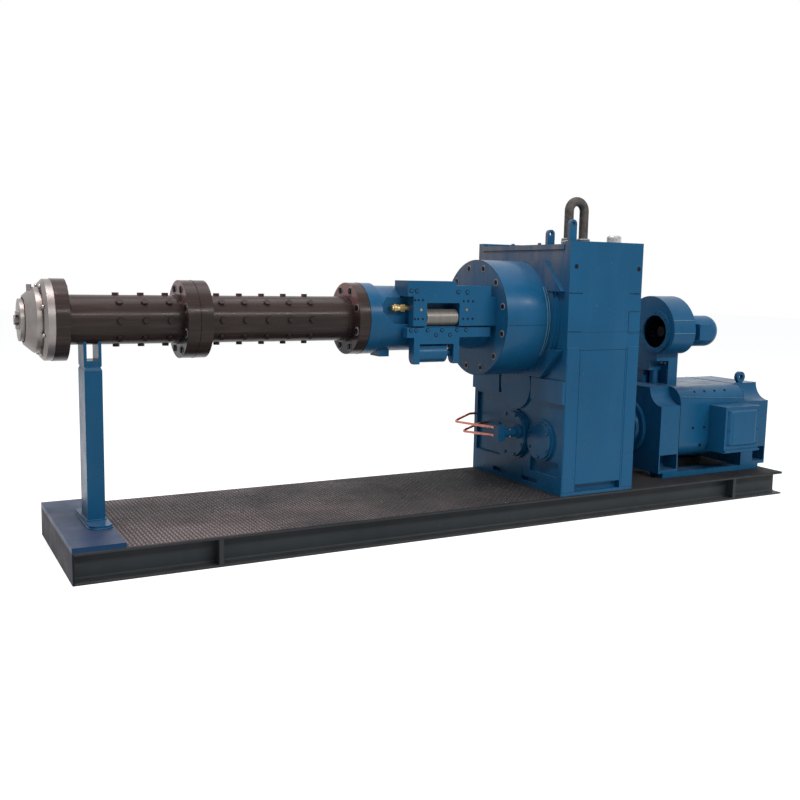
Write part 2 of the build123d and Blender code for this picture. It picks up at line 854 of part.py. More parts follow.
# Oil pump on the drive cap, with a manifold for the two pipes
pump_y = -pump_offset
pump_z = drive_axis_height + pump_rise
pump_face = gearbox_front - drive_cap_length - pump_length
manifold_far = pump_y + manifold_length / 2
with BuildPart() as oil_pump:
    disc(pump_face, pump_diameter, pump_length, pump_y, pump_z)
    with BuildSketch(across(gearbox_front - drive_cap_length - pump_collar_length)):
        with Locations((pump_y, pump_z)):
            RegularPolygon(pump_collar_width / 2, 6, major_radius=False)
    extrude(amount=pump_collar_length)
    with BuildSketch(across(pump_face - manifold_depth)):
        with Locations((pump_y, pump_z)):
            Rectangle(manifold_length, manifold_height)
    extrude(amount=manifold_depth)
oil_pump.part.label = "oil_pump"
export_step(oil_pump.part, "parts/oil_pump.step")

# Copper pipes that swing across the face and back into the gearbox
pipe_x = pump_face - manifold_depth / 2
for pipe_name, rise, reach, end_x in (
    ("oil_pipe_upper", pipe_spacing / 2, upper_pipe_reach, gearbox_front),
    ("oil_pipe_lower", -pipe_spacing / 2, lower_pipe_reach, gearbox_front + panel_recess),
):
    start_z = pump_z + rise
    bend_z = start_z - pipe_fall
    end_z = bend_z + pipe_climb
    with BuildPart() as oil_pipe:
        with BuildLine() as route:
            FilletPolyline(
                (pipe_x, manifold_far, start_z),
                (pipe_x, manifold_far + pipe_stub, start_z),
                (pipe_x, reach, bend_z),
                (end_x - pipe_stub, reach, end_z),
                (end_x, reach, end_z),
                radius=pipe_bend_radius,
            )
        with BuildSketch(Plane.XZ.offset(-manifold_far)):
            with Locations((pipe_x, start_z)):
                Circle(pipe_diameter / 2)
        sweep(path=route.line)
    oil_pipe.part.label = pipe_name
    export_step(oil_pipe.part, f"parts/{pipe_name}.step")

# Lifting lugs on the lid and on the operator side plate
for number, lug_y, lug_z, lug_height in (
    (1, -(gearbox_width - gearbox_side_plate) / 2, gearbox_top, side_lug_height),
    (2, -lid_lug_offset, lid_top, lid_lug_height),
):
    with BuildPart() as lug:
        with BuildSketch(Plane.XZ.offset(-lug_y - lug_thickness / 2)):
            with Locations((gearbox_front + lug_width / 2, lug_z + (lug_height - lug_width / 2) / 2)):
                Rectangle(lug_width, lug_height - lug_width / 2)
            with Locations((gearbox_front + lug_width / 2, lug_z + lug_height - lug_width / 2)):
                Circle(lug_width / 2)
                Circle(lug_hole / 2, mode=Mode.SUBTRACT)
        extrude(amount=lug_thickness)
    lug.part.label = f"lifting_lug_{number}"
    export_step(lug.part, f"parts/lifting_lug_{number}.step")

# Breather cap
with BuildPart() as breather:
    with BuildSketch(Plane.XY.offset(lid_top)):
        with Locations((gearbox_back - breather_diameter, -breather_offset)):
            Circle(breather_diameter / 2)
    extrude(amount=breather_height)
    chamfer(breather.faces().sort_by(Axis.Z)[-1].edges(), length=breather_chamfer)
breather.part.label = "breather"
export_step(breather.part, "parts/breather.step")

# Return bend that stands on the lid in two ferrules
bend_near = gearbox_front + bend_setback - bend_span / 2
bend_far = bend_near + bend_span
with BuildPart() as return_bend:
    with BuildLine() as bend_route:
        left_leg = Line(
            (bend_near, -bend_offset, lid_top),
            (bend_near, -bend_offset, lid_top + bend_height),
        )
        top_arc = ThreePointArc(
            left_leg @ 1,
            (bend_near + bend_span / 2, -bend_offset, lid_top + bend_height + bend_span / 2),
            (bend_far, -bend_offset, lid_top + bend_height),
        )
        Line(top_arc @ 1, (bend_far, -bend_offset, lid_top))
    with BuildSketch(Plane.XY.offset(lid_top)):
        with Locations((bend_near, -bend_offset)):
            Circle(bend_tube / 2)
    sweep(path=bend_route.line)
    with BuildSketch(Plane.XY.offset(lid_top)):
        with Locations((bend_near, -bend_offset), (bend_far, -bend_offset)):
            Circle(ferrule_diameter / 2)
    extrude(amount=ferrule_height)
return_bend.part.label = "return_bend"
export_step(return_bend.part, "parts/return_bend.step")

# Coupling between gearbox and motor
with BuildPart() as coupling:
    disc(gearbox_back, shaft_diameter, motor_front - gearbox_back, 0, drive_axis_height)
    coupling_middle = (gearbox_back + motor_front) / 2
    near_hub = coupling_middle - coupling_gap - gearbox_back - coupling_inset
    far_hub = motor_front - coupling_inset - coupling_middle
    disc(gearbox_back + coupling_inset, coupling_diameter, near_hub, 0, drive_axis_height)
    disc(coupling_middle, coupling_diameter, far_hub, 0, drive_axis_height)
coupling.part.label = "coupling"
export_step(coupling.part, "parts/coupling.step")

# Sole plates under the motor feet
sole_length = motor_length - sole_front_inset - sole_rear_inset
for sole_name, side in (("front_sole", -1), ("rear_sole", 1)):
    with BuildPart() as sole:
        with BuildSketch(Plane.XY.offset(deck_top)):
            with Locations(
                (
                    motor_front + sole_front_inset + sole_length / 2,
                    side * (motor_width - sole_width) / 2,
                )
            ):
                Rectangle(sole_length, sole_width)
        extrude(amount=sole_height)
    sole.part.label = sole_name
    export_step(sole.part, f"parts/{sole_name}.step")

# Motor: a frame with rounded shoulders between two scalloped end shields
half_width = motor_width / 2
frame_start = motor_front + drive_shield_length
frame_length = motor_length - drive_shield_length - rear_shield_length
frame_height = motor_height - motor_foot_gap
with BuildPart() as motor:
    with BuildSketch(across(frame_start)):
        with Locations((0, motor_top - frame_height / 2)):
            frame_sheet = Rectangle(motor_width, frame_height)
            fillet(frame_sheet.vertices().group_by(Axis.Z)[-1], radius=motor_corner)
    extrude(amount=frame_length)
    for shield_start, shield_length in (
        (motor_front, drive_shield_length),
        (frame_start + frame_length, rear_shield_length),
    ):
        with BuildSketch(across(shield_start)):
            with Locations((0, motor_bottom + motor_height / 2)):
                Rectangle(motor_width, motor_height)
            with Locations((-half_width, motor_top), (half_width, motor_top)):
                Circle(shield_scallop, mode=Mode.SUBTRACT)
        extrude(amount=shield_length)
    pocket_middle = motor_bottom + foot_pocket_rise + foot_pocket_height / 2
    drive_pocket_length = drive_shield_length - 2 * foot_pocket_wall
    rear_pocket_length = rear_shield_length - rear_foot_length - foot_pocket_wall
    for side in (-1, 1):
        with BuildSketch(Plane.XZ.offset(-side * (half_width - foot_pocket_depth))):
            with Locations((motor_front + foot_pocket_wall + drive_pocket_length / 2, pocket_middle)):
                Rectangle(drive_pocket_length, foot_pocket_height)
            with Locations((motor_back - foot_pocket_wall - rear_pocket_length / 2, pocket_middle)):
                Rectangle(rear_pocket_length, foot_pocket_height)
        extrude(amount=-side * foot_pocket_depth, mode=Mode.SUBTRACT)
motor.part.label = "motor"
export_step(motor.part, "parts/motor.step")

# Terminal box on the operator side, with a bevelled door and a sill
with BuildPart() as terminal_box:
    terminal_x = motor_front + terminal_setback + terminal_length / 2
    terminal_z = motor_bottom + terminal_rise + terminal_height / 2
    box_depth = terminal_depth - terminal_door_thickness
    with BuildSketch(Plane.XZ.offset(half_width)):
        with Locations((terminal_x, terminal_z)):
            Rectangle(terminal_length, terminal_height)
    extrude(amount=box_depth)
    with BuildSketch(Plane.XZ.offset(half_width + box_depth)):
        with Locations((terminal_x, terminal_z + terminal_sill_height / 2)):
            Rectangle(
                terminal_length - 2 * terminal_door_margin,
                terminal_height - terminal_sill_height - 2 * terminal_door_margin,
            )
    extrude(amount=terminal_door_thickness)
    chamfer(terminal_box.faces().sort_by(Axis.Y)[0].edges(), length=terminal_door_bevel)
    with BuildSketch(Plane.XZ.offset(half_width + box_depth)):
        with Locations((terminal_x, terminal_z - (terminal_height - terminal_sill_height) / 2)):
            Rectangle(terminal_length, terminal_sill_height / 2)
    extrude(amount=terminal_door_thickness)
terminal_box.part.label = "terminal_box"
export_step(terminal_box.part, "parts/terminal_box.step")

# Lifting eye on top of the motor
with BuildPart() as motor_eye:
    with BuildSketch(Plane.XZ.offset(eye_offset - eye_thickness / 2)):
        with Locations((motor_front + eye_setback, motor_top)):
            Rectangle(eye_diameter / 2, eye_diameter / 2, align=(Align.CENTER, Align.MIN))
        with Locations((motor_front + eye_setback, motor_top + eye_diameter / 2)):
            Circle(eye_diameter / 2)
            Circle(eye_hole / 2, mode=Mode.SUBTRACT)
    extrude(amount=eye_thickness)
motor_eye.part.label = "motor_eye"
export_step(motor_eye.part, "parts/motor_eye.step")


def scroll_outline(inset):
    """Fan casing outline, round to the tongue and then straight down into the outlet."""
    reach = scroll_radius - inset
    tongue_reach = tongue_radius - inset
    tongue_y = scroll_offset - scroll_radius + tongue_radius
    with BuildSketch(across(scroll_x)) as outline:
        with BuildLine():
            upper = ThreePointArc(
                (scroll_offset - reach, scroll_axis_height),
                (scroll_offset, scroll_axis_height + reach),
                (scroll_offset + reach, scroll_axis_height),
            )
            outer_wall = Line(upper @ 1, (scroll_offset + reach, outlet_height))
            mouth = Line(outer_wall @ 1, (tongue_y + inset, outlet_height))
            inner_wall = Line(mouth @ 1, (tongue_y + inset, scroll_axis_height - tongue_reach))
            if inset > 0:
                Line(inner_wall @ 1, (tongue_y, scroll_axis_height - tongue_reach))
            RadiusArc(
                (tongue_y, scroll_axis_height - tongue_reach),
                (scroll_offset - reach, scroll_axis_height),
                tongue_reach,
            )
        make_face()
    return outline.sketch


# Blower scroll, a sheet casing that is open at its inlet and its outlet
mouth_near = scroll_offset - scroll_radius + tongue_radius
mouth_far = scroll_offset + scroll_radius
with BuildPart() as scroll:
    extrude(scroll_outline(0), amount=scroll_width)
    extrude(
        scroll_outline(scroll_wall).moved(Location((scroll_wall, 0, 0))),
        amount=scroll_width - 2 * scroll_wall,
        mode=Mode.SUBTRACT,
    )
    with BuildSketch(Plane.XY.offset(outlet_height)):
        with Locations((scroll_x + duct_shoulder / 2, (mouth_near - outlet_flange_side) / 2)):
            Rectangle(duct_shoulder, -mouth_near - outlet_flange_side + 2 * outlet_sheet)
    extrude(amount=outlet_sheet)
    disc(
        scroll_x - inlet_ring_thickness,
        inlet_diameter + 2 * inlet_ring_width,
        inlet_ring_thickness,
        inlet_offset,
        scroll_axis_height,
    )
    with BuildSketch(across(scroll_x - inlet_ring_thickness)):
        with Locations((inlet_offset, scroll_axis_height)):
            Circle(inlet_diameter / 2)
    extrude(amount=inlet_ring_thickness + scroll_wall, mode=Mode.SUBTRACT)
    with BuildSketch(across(scroll_x + scroll_width - scroll_wall)):
        with Locations((inlet_offset, scroll_axis_height)):
            Circle(wheel_shaft_diameter / 2 + wheel_shaft_clearance)
    extrude(amount=scroll_wall, mode=Mode.SUBTRACT)
scroll.part.label = "blower_scroll"
export_step(scroll.part, "parts/blower_scroll.step")

# Fan wheel with forward curved blades round its back plate
wheel_back = scroll_x + scroll_width - wheel_gap
wheel_start = wheel_back - wheel_width
with BuildPart() as fan_wheel:
    disc(wheel_back - wheel_plate, wheel_diameter, wheel_plate, inlet_offset, scroll_axis_height)
    disc(wheel_start, wheel_hub_diameter, wheel_width, inlet_offset, scroll_axis_height)
    blade_radius = (wheel_diameter - wheel_blade_depth) / 2
    with BuildSketch(across(wheel_start)):
        with Locations((inlet_offset, scroll_axis_height)):
            with PolarLocations(blade_radius, wheel_blades):
                Rectangle(wheel_blade_depth, wheel_blade_thickness, rotation=wheel_blade_turn)
    extrude(amount=wheel_width)
fan_wheel.part.label = "fan_wheel"
export_step(fan_wheel.part, "parts/fan_wheel.step")

# Outlet duct on the motor: a stepped sheet neck under a pair of angle flanges, with a pipe stay
duct_front = scroll_x + duct_front_inset
duct_step = scroll_x + duct_shoulder
duct_back = scroll_x + scroll_width
with BuildPart() as duct:
    with BuildSketch(Plane.XY.offset(motor_top)) as neck:
        with BuildLine():
            Polyline(
                (duct_step, mouth_near),
                (duct_back, mouth_near),
                (duct_back, mouth_far),
                (duct_front, mouth_far),
                (duct_front, duct_recess),
                (duct_step, duct_recess),
                close=True,
            )
        make_face()
    extrude(neck.sketch, amount=outlet_height - motor_top)
    for level, overhang in ((2, outlet_flange_overhang), (1, outlet_flange_overhang - outlet_flange_step)):
        flange_near = -outlet_flange_side + outlet_flange_overhang - overhang
        flange_far = mouth_far + overhang
        with BuildSketch(Plane.XY.offset(outlet_height - level * outlet_flange_thickness)):
            with Locations((scroll_x + scroll_width / 2, (flange_near + flange_far) / 2)):
                Rectangle(scroll_width, flange_far - flange_near)
        extrude(amount=outlet_flange_thickness)
    pipe_top = outlet_height - 2 * outlet_flange_thickness
    with BuildSketch(Plane.XY.offset(motor_top)):
        with Locations((scroll_x + duct_pipe_setback, duct_pipe_side)):
            Circle(duct_pipe_diameter / 2)
    extrude(amount=pipe_top - motor_top)
    with BuildSketch(Plane.XY.offset(motor_top)):
        add(offset(neck.sketch, amount=-duct_wall, mode=Mode.PRIVATE))
    extrude(amount=outlet_height - motor_top, mode=Mode.SUBTRACT)
duct.part.label = "blower_duct"
export_step(duct.part, "parts/blower_duct.step")

# Fan motor with a domed end, its shaft and its terminal box
fan_motor_start = scroll_x + scroll_width
with BuildPart() as fan_motor:
    disc(fan_motor_start, fan_motor_diameter, fan_motor_length, inlet_offset, scroll_axis_height)
    fillet(fan_motor.faces().sort_by(Axis.X)[-1].edges(), radius=fan_motor_round)
    fan_box_reach = fan_motor_diameter / 2 + fan_box_depth / 2
    with BuildSketch(Plane.XZ.offset(-inlet_offset)):
        with Locations((fan_motor_start + fan_box_setback + fan_box_length / 2, scroll_axis_height)):
            Rectangle(fan_box_length, fan_box_height)
    extrude(amount=fan_box_reach)
    disc(wheel_back, wheel_shaft_diameter, fan_motor_start - wheel_back, inlet_offset, scroll_axis_height)
fan_motor.part.label = "fan_motor"
export_step(fan_motor.part, "parts/fan_motor.step")
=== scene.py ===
import bmesh
import bpy
import math
from mathutils import Matrix, Vector


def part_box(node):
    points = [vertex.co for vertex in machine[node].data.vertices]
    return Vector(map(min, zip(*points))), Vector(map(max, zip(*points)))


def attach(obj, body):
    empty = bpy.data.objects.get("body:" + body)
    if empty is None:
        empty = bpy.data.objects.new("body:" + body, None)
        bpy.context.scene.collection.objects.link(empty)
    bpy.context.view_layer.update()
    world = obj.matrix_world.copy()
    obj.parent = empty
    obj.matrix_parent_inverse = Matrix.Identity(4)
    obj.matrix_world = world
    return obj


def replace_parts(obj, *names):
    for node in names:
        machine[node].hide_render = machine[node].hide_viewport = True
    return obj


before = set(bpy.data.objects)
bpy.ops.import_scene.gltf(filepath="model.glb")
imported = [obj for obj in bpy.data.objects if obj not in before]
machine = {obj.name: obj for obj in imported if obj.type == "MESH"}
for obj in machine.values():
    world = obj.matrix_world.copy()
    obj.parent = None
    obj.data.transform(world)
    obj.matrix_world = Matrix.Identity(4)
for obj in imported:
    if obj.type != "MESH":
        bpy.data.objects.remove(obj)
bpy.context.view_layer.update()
scene = bpy.context.scene

# The camera stands at the operator's side, level with the top of the gearbox,
# and looks towards the motor end, turned and tipped as the photographer held it.
view_yaw = math.radians(28.384)
view_tip = math.radians(7.464)
view_roll = math.radians(1.099)
view_place = Vector((-3.0455, -4.9060, 1.4473))
ahead = Vector((math.sin(view_yaw) * math.cos(view_tip), math.cos(view_yaw) * math.cos(view_tip), -math.sin(view_tip)))
level_right = Vector((math.cos(view_yaw), -math.sin(view_yaw), 0))
level_up = level_right.cross(ahead)
view_right = math.cos(view_roll) * level_right + math.sin(view_roll) * level_up
view_up = math.cos(view_roll) * level_up - math.sin(view_roll) * level_right
camera_data = bpy.data.cameras.new("photo_view")
camera_data.lens = 42.769
camera_data.sensor_width = 36
camera_data.clip_end = 100
camera = bpy.data.objects.new("photo_view", camera_data)
camera.matrix_world = Matrix.Translation(view_place) @ Matrix((view_right, view_up, -ahead)).transposed().to_4x4()
scene.collection.objects.link(camera)
scene.camera = camera


def fit_node(tree, kind, inputs=None, **settings):
    """Adds a node, sets it, and joins or fills the named inputs."""
    made = tree.nodes.new(kind)
    for setting, value in settings.items():
        setattr(made, setting, value)
    for socket, value in (inputs or {}).items():
        if isinstance(value, bpy.types.NodeSocket):
            tree.links.new(value, made.inputs[socket])
        else:
            made.inputs[socket].default_value = value
    return made


def seen_directly(tree):
    """1 for rays from the camera, from gloss and through glass, and 0 for plain light."""
    rays = fit_node(tree, "ShaderNodeLightPath")
    gloss = fit_node(tree, "ShaderNodeMath", {0: rays.outputs["Is Camera Ray"], 1: rays.outputs["Is Glossy Ray"]},
                     operation="MAXIMUM")
    return fit_node(tree, "ShaderNodeMath", {0: gloss.outputs[0], 1: rays.outputs["Is Transmission Ray"]},
                    operation="MAXIMUM").outputs[0]


# The studio is a pale floor that runs out to a white sky. The camera and the polished
# metal see the white, and the machine itself gets a plain soft light.
sky = bpy.data.worlds.new("studio")
scene.world = sky
sky.use_nodes = True
sky_tree = sky.node_tree
sky_tree.nodes.clear()
sky_soft = fit_node(sky_tree, "ShaderNodeBackground", {"Color": (0.86, 0.92, 1, 1), "Strength": 0.18})
sky_white = fit_node(sky_tree, "ShaderNodeBackground", {"Color": (1, 1, 1, 1), "Strength": 1})
sky_mix = fit_node(sky_tree, "ShaderNodeMixShader",
                   {0: seen_directly(sky_tree), 1: sky_soft.outputs[0], 2: sky_white.outputs[0]})
fit_node(sky_tree, "ShaderNodeOutputWorld", {"Surface": sky_mix.outputs[0]})

floor_mesh = bpy.data.meshes.new("studio_floor")
floor_mesh.from_pydata([(-30, -30, 0), (30, -30, 0), (30, 30, 0), (-30, 30, 0)], [], [(0, 1, 2, 3)])
floor = bpy.data.objects.new("studio_floor", floor_mesh)
scene.collection.objects.link(floor)
floor_paint = bpy.data.materials.new("studio_floor")
floor_paint.use_nodes = True
floor_tree = floor_paint.node_tree
floor_tree.nodes.clear()
floor_tone = fit_node(floor_tree, "ShaderNodeTexNoise", {"Scale": 0.7})
floor_shade = fit_node(floor_tree, "ShaderNodeMapRange", {"Value": floor_tone.outputs[0], "To Min": 0.56, "To Max": 0.60})
floor_matt = fit_node(floor_tree, "ShaderNodeBsdfDiffuse", {"Color": floor_shade.outputs[0]})
floor_glow = fit_node(floor_tree, "ShaderNodeEmission", {"Color": (1, 1, 1, 1)})
floor_lift = fit_node(floor_tree, "ShaderNodeMath", {0: seen_directly(floor_tree), 1: 0.88}, operation="MULTIPLY")
floor_tree.links.new(floor_lift.outputs[0], floor_glow.inputs["Strength"])
floor_both = fit_node(floor_tree, "ShaderNodeAddShader", {0: floor_matt.outputs[0], 1: floor_glow.outputs[0]})
fit_node(floor_tree, "ShaderNodeOutputMaterial", {"Surface": floor_both.outputs[0]})
floor_mesh.materials.append(floor_paint)

for lamp_name, lamp_place, lamp_aim, lamp_sides, lamp_power, lamp_tint in (
    ("operator_side_strip", (2.6, -7.0, 5.3), (0.4, 0, 1.1), (8.0, 0.36), 440, (1, 0.98, 0.95)),
    ("roof_lamp", (-0.6, 0.8, 6.5), (-0.4, 0, 0.8), (5.0, 3.0), 120, (0.97, 0.98, 1)),
    ("die_end_lamp", (-2.5, -0.9, 6.0), (-1.6, 0, 1.0), (1.2, 1.2), 130, (1, 0.76, 0.74)),
):
    lamp_data = bpy.data.lights.new(lamp_name, "AREA")
    lamp_data.shape = "RECTANGLE"
    lamp_data.size, lamp_data.size_y = lamp_sides
    lamp_data.energy = lamp_power
    lamp_data.color = lamp_tint
    lamp = bpy.data.objects.new(lamp_name, lamp_data)
    lamp_ahead = (Vector(lamp_aim) - Vector(lamp_place)).normalized()
    lamp_across = lamp_ahead.cross(Vector((0, 0, 1))).normalized()
    lamp_up = lamp_across.cross(lamp_ahead)
    lamp.matrix_world = (Matrix.Translation(lamp_place)
                         @ Matrix((lamp_across, lamp_up, -lamp_ahead)).transposed().to_4x4())
    scene.collection.objects.link(lamp)


def printed(red, green, blue):
    """A shade given as 0 to 255, turned into the light that it reflects."""
    return tuple((c / 255 / 12.92) if c <= 10 else ((c / 255 + 0.055) / 1.055) ** 2.4 for c in (red, green, blue)) + (1,)


def start_finish(name):
    """An empty finish with its shader, read in the machine's own coordinates."""
    finish = bpy.data.materials.new(name)
    finish.use_nodes = True
    tree = finish.node_tree
    tree.nodes.clear()
    shader = fit_node(tree, "ShaderNodeBsdfPrincipled")
    fit_node(tree, "ShaderNodeOutputMaterial", {"Surface": shader.outputs[0]})
    place = fit_node(tree, "ShaderNodeTexCoord").outputs["Object"]
    return finish, tree, shader, place


def spread(tree, value, low, high, to_low, to_high):
    """Stretches a grey pattern from one range onto another."""
    return fit_node(tree, "ShaderNodeMapRange", {"Value": value, "From Min": low, "From Max": high,
                                                 "To Min": to_low, "To Max": to_high}).outputs[0]


def blend_shades(tree, amount, first, second):
    """Mixes two shades by a grey pattern."""
    mixed = fit_node(tree, "ShaderNodeMix", data_type="RGBA")
    for socket, value in ((0, amount), (6, first), (7, second)):
        if isinstance(value, bpy.types.NodeSocket):
            tree.links.new(value, mixed.inputs[socket])
        else:
            mixed.inputs[socket].default_value = value
    return mixed.outputs[2]


def cloud(tree, place, scale, detail=3, stretch=None):
    """A soft noise pattern, stretched along an axis where that is given."""
    if stretch:
        place = fit_node(tree, "ShaderNodeMapping", {"Vector": place, "Scale": stretch}).outputs[0]
    return fit_node(tree, "ShaderNodeTexNoise", {"Vector": place, "Scale": scale, "Detail": detail}).outputs[0]


def paint_finish(name, shade, worn, dust_and_painted_light, gloss, peel, wear, dust, wear_and_light_amount=0.0):
    """Sprayed machine paint: slow changes of tone, runs, small chips, orange peel and dust on what faces up, with
    painted pale light on high faces that look towards the die end, and for plates underfoot wear with painted light
    that grows towards the die end.
    """
    finish, tree, shader, place = start_finish(name)
    slow = spread(tree, cloud(tree, place, 1.7), 0.35, 0.65, 0, 1)
    deep = tuple(c * 0.84 for c in shade[:3]) + (1,)
    colour = blend_shades(tree, slow, deep, shade)
    runs = spread(tree, cloud(tree, place, 1, 4, (13, 13, 1.6)), 0.50, 0.78, 0, 0.10)
    colour = blend_shades(tree, runs, colour, worn)
    specks = spread(tree, cloud(tree, place, 46, 5), 0.70 - wear, 0.745 - wear, 0, 0.8)
    colour = blend_shades(tree, specks, colour, worn)
    side = fit_node(tree, "ShaderNodeNewGeometry").outputs["Normal"]
    up = fit_node(tree, "ShaderNodeSeparateXYZ", {0: side}).outputs[2]
    settled = spread(tree, up, 0.5, 1, 0, dust)
    # Painted light: high faces that look towards the die end are mixed in streaks towards the pale dust colour, as if
    # lit from above that end.
    painted_die_end_light = fit_node(tree, "ShaderNodeMath", {
        0: spread(tree, fit_node(tree, "ShaderNodeSeparateXYZ", {0: place}).outputs[2], 1.26, 1.62, 0, 0.95),
        1: spread(tree, fit_node(tree, "ShaderNodeSeparateXYZ", {0: side}).outputs[0], -0.60, -0.95, 0, 1)},
        operation="MULTIPLY").outputs[0]
    painted_die_end_light = fit_node(tree, "ShaderNodeMath", {
        0: painted_die_end_light, 1: spread(tree, cloud(tree, place, 1, 4, (8, 8, 1.2)), 0.40, 0.62, 0.25, 1)},
        operation="MULTIPLY").outputs[0]
    colour = blend_shades(tree, painted_die_end_light, colour, dust_and_painted_light)
    patchy = fit_node(tree, "ShaderNodeMath", {0: settled, 1: spread(tree, cloud(tree, place, 9, 4), 0.3, 0.6, 0.45, 1)},
                      operation="MULTIPLY").outputs[0]
    colour = blend_shades(tree, patchy, colour, dust_and_painted_light)
    # Plates underfoot get wear together with painted light, in patches that grow paler towards the die end.
    if wear_and_light_amount:
        way = fit_node(tree, "ShaderNodeSeparateXYZ", {0: place}).outputs[0]
        worn_and_lit = fit_node(tree, "ShaderNodeMath", {
            0: spread(tree, way, 0.3, -2.1, 0, wear_and_light_amount), 1: spread(tree, cloud(tree, place, 2.6, 5), 0.36, 0.62, 0.25, 1)},
            operation="MULTIPLY").outputs[0]
        colour = blend_shades(tree, worn_and_lit, colour, worn)
    tree.links.new(colour, shader.inputs["Base Color"])
    rough = spread(tree, cloud(tree, place, 7, 4), 0.3, 0.7, gloss - 0.05, gloss + 0.1)
    tree.links.new(rough, shader.inputs["Roughness"])
    shader.inputs["Specular IOR Level"].default_value = 0.15
    skin = fit_node(tree, "ShaderNodeBump", {"Height": cloud(tree, place, 240, 2), "Strength": peel, "Distance": 0.002})
    dents = fit_node(tree, "ShaderNodeBump", {"Height": cloud(tree, place, 5, 2), "Normal": skin.outputs[0],
                                              "Strength": 0.12, "Distance": 0.01})
    tree.links.new(dents.outputs[0], shader.inputs["Normal"])
    return finish


def dress(finish, slot_name, *names):
    """Gives pieces of the machine their finish. The slot name is not used."""
    for name in names:
        piece = machine[name]
        piece.data.materials.clear()
        piece.data.materials.append(finish)


# The base frame is welded from wide flange beams and painted near black. Its rails,
# cross beams and end plate carry everything, and dust lies on their lower flanges.
frame_black = paint_finish("frame_black", printed(58, 64, 68), printed(84, 84, 82), printed(104, 106, 104),
                           0.46, 0.08, 0.0, 0.30)
dress(frame_black, "frame_paint", "front_rail", "rear_rail", "cross_beam_1", "cross_beam_2", "cross_beam_3",
      "cross_beam_4")


def bead_tree():
    """Node tree that lays a rippled weld bead or a plain joint line along edges."""
    tree = bpy.data.node_groups.new("bead_along_edges", "GeometryNodeTree")
    tree.interface.new_socket("Edges", in_out="INPUT", socket_type="NodeSocketGeometry")
    for name, start in (("Width", 0.008), ("Ripple", 0.15), ("Step", 0.01)):
        tree.interface.new_socket(name, in_out="INPUT", socket_type="NodeSocketFloat").default_value = start
    tree.interface.new_socket("Finish", in_out="INPUT", socket_type="NodeSocketMaterial")
    tree.interface.new_socket("Bead", in_out="OUTPUT", socket_type="NodeSocketGeometry")
    given = fit_node(tree, "NodeGroupInput")
    line = fit_node(tree, "GeometryNodeMeshToCurve", {"Mesh": given.outputs["Edges"]})
    steps = fit_node(tree, "GeometryNodeResampleCurve", {"Curve": line.outputs[0], "Length": given.outputs["Step"]},
                     mode="LENGTH")
    ring = fit_node(tree, "GeometryNodeCurvePrimitiveCircle", {"Resolution": 8, "Radius": 0.5})
    size = fit_node(tree, "GeometryNodeTransform", {"Geometry": ring.outputs[0]})
    wide = fit_node(tree, "ShaderNodeCombineXYZ", {0: given.outputs["Width"], 1: given.outputs["Width"],
                                                  2: given.outputs["Width"]})
    tree.links.new(wide.outputs[0], size.inputs["Scale"])
    body = fit_node(tree, "GeometryNodeCurveToMesh", {"Curve": steps.outputs[0], "Profile Curve": size.outputs[0],
                                                      "Fill Caps": True})
    lumps = fit_node(tree, "ShaderNodeTexNoise", {"Scale": 60.0, "Detail": 1.0})
    middle = fit_node(tree, "ShaderNodeMath", {0: lumps.outputs[0], 1: 0.5}, operation="SUBTRACT")
    swell = fit_node(tree, "ShaderNodeMath", {0: middle.outputs[0], 1: given.outputs["Ripple"]}, operation="MULTIPLY")
    amount = fit_node(tree, "ShaderNodeMath", {0: swell.outputs[0], 1: given.outputs["Width"]}, operation="MULTIPLY")
    push = fit_node(tree, "ShaderNodeVectorMath", {0: fit_node(tree, "GeometryNodeInputNormal").outputs[0]},
                    operation="SCALE")
    tree.links.new(amount.outputs[0], push.inputs["Scale"])
    moved = fit_node(tree, "GeometryNodeSetPosition", {"Geometry": body.outputs[0], "Offset": push.outputs[0]})
    solid = fit_node(tree, "GeometryNodeRealizeInstances", {"Geometry": moved.outputs[0]})
    done = fit_node(tree, "GeometryNodeSetMaterial", {"Geometry": solid.outputs[0], "Material": given.outputs["Finish"]})
    fit_node(tree, "NodeGroupOutput", {"Bead": done.outputs[0]})
    return tree


def apply_tree(name, points, edges, facings, tree, settings, body):
    """Runs a node tree on points or edges, keeps the result as one plain mesh and seats it on a body."""
    mesh = bpy.data.meshes.new(name)
    mesh.from_pydata(points, edges, [])
    if facings:
        facing = mesh.attributes.new("facing", "FLOAT_VECTOR", "POINT")
        facing.data.foreach_set("vector", [c for f in facings for c in f])
    piece = bpy.data.objects.new(name, mesh)
    scene.collection.objects.link(piece)
    layer = piece.modifiers.new(name, "NODES")
    layer.node_group = tree
    for item in tree.interface.items_tree:
        if item.in_out == "INPUT" and item.name in settings:
            layer[item.identifier] = settings[item.name]
    bpy.context.view_layer.update()
    made = bpy.data.meshes.new_from_object(piece.evaluated_get(bpy.context.evaluated_depsgraph_get()))
    piece.modifiers.clear()
    piece.data = made
    made.name = name
    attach(piece, body)
    return piece


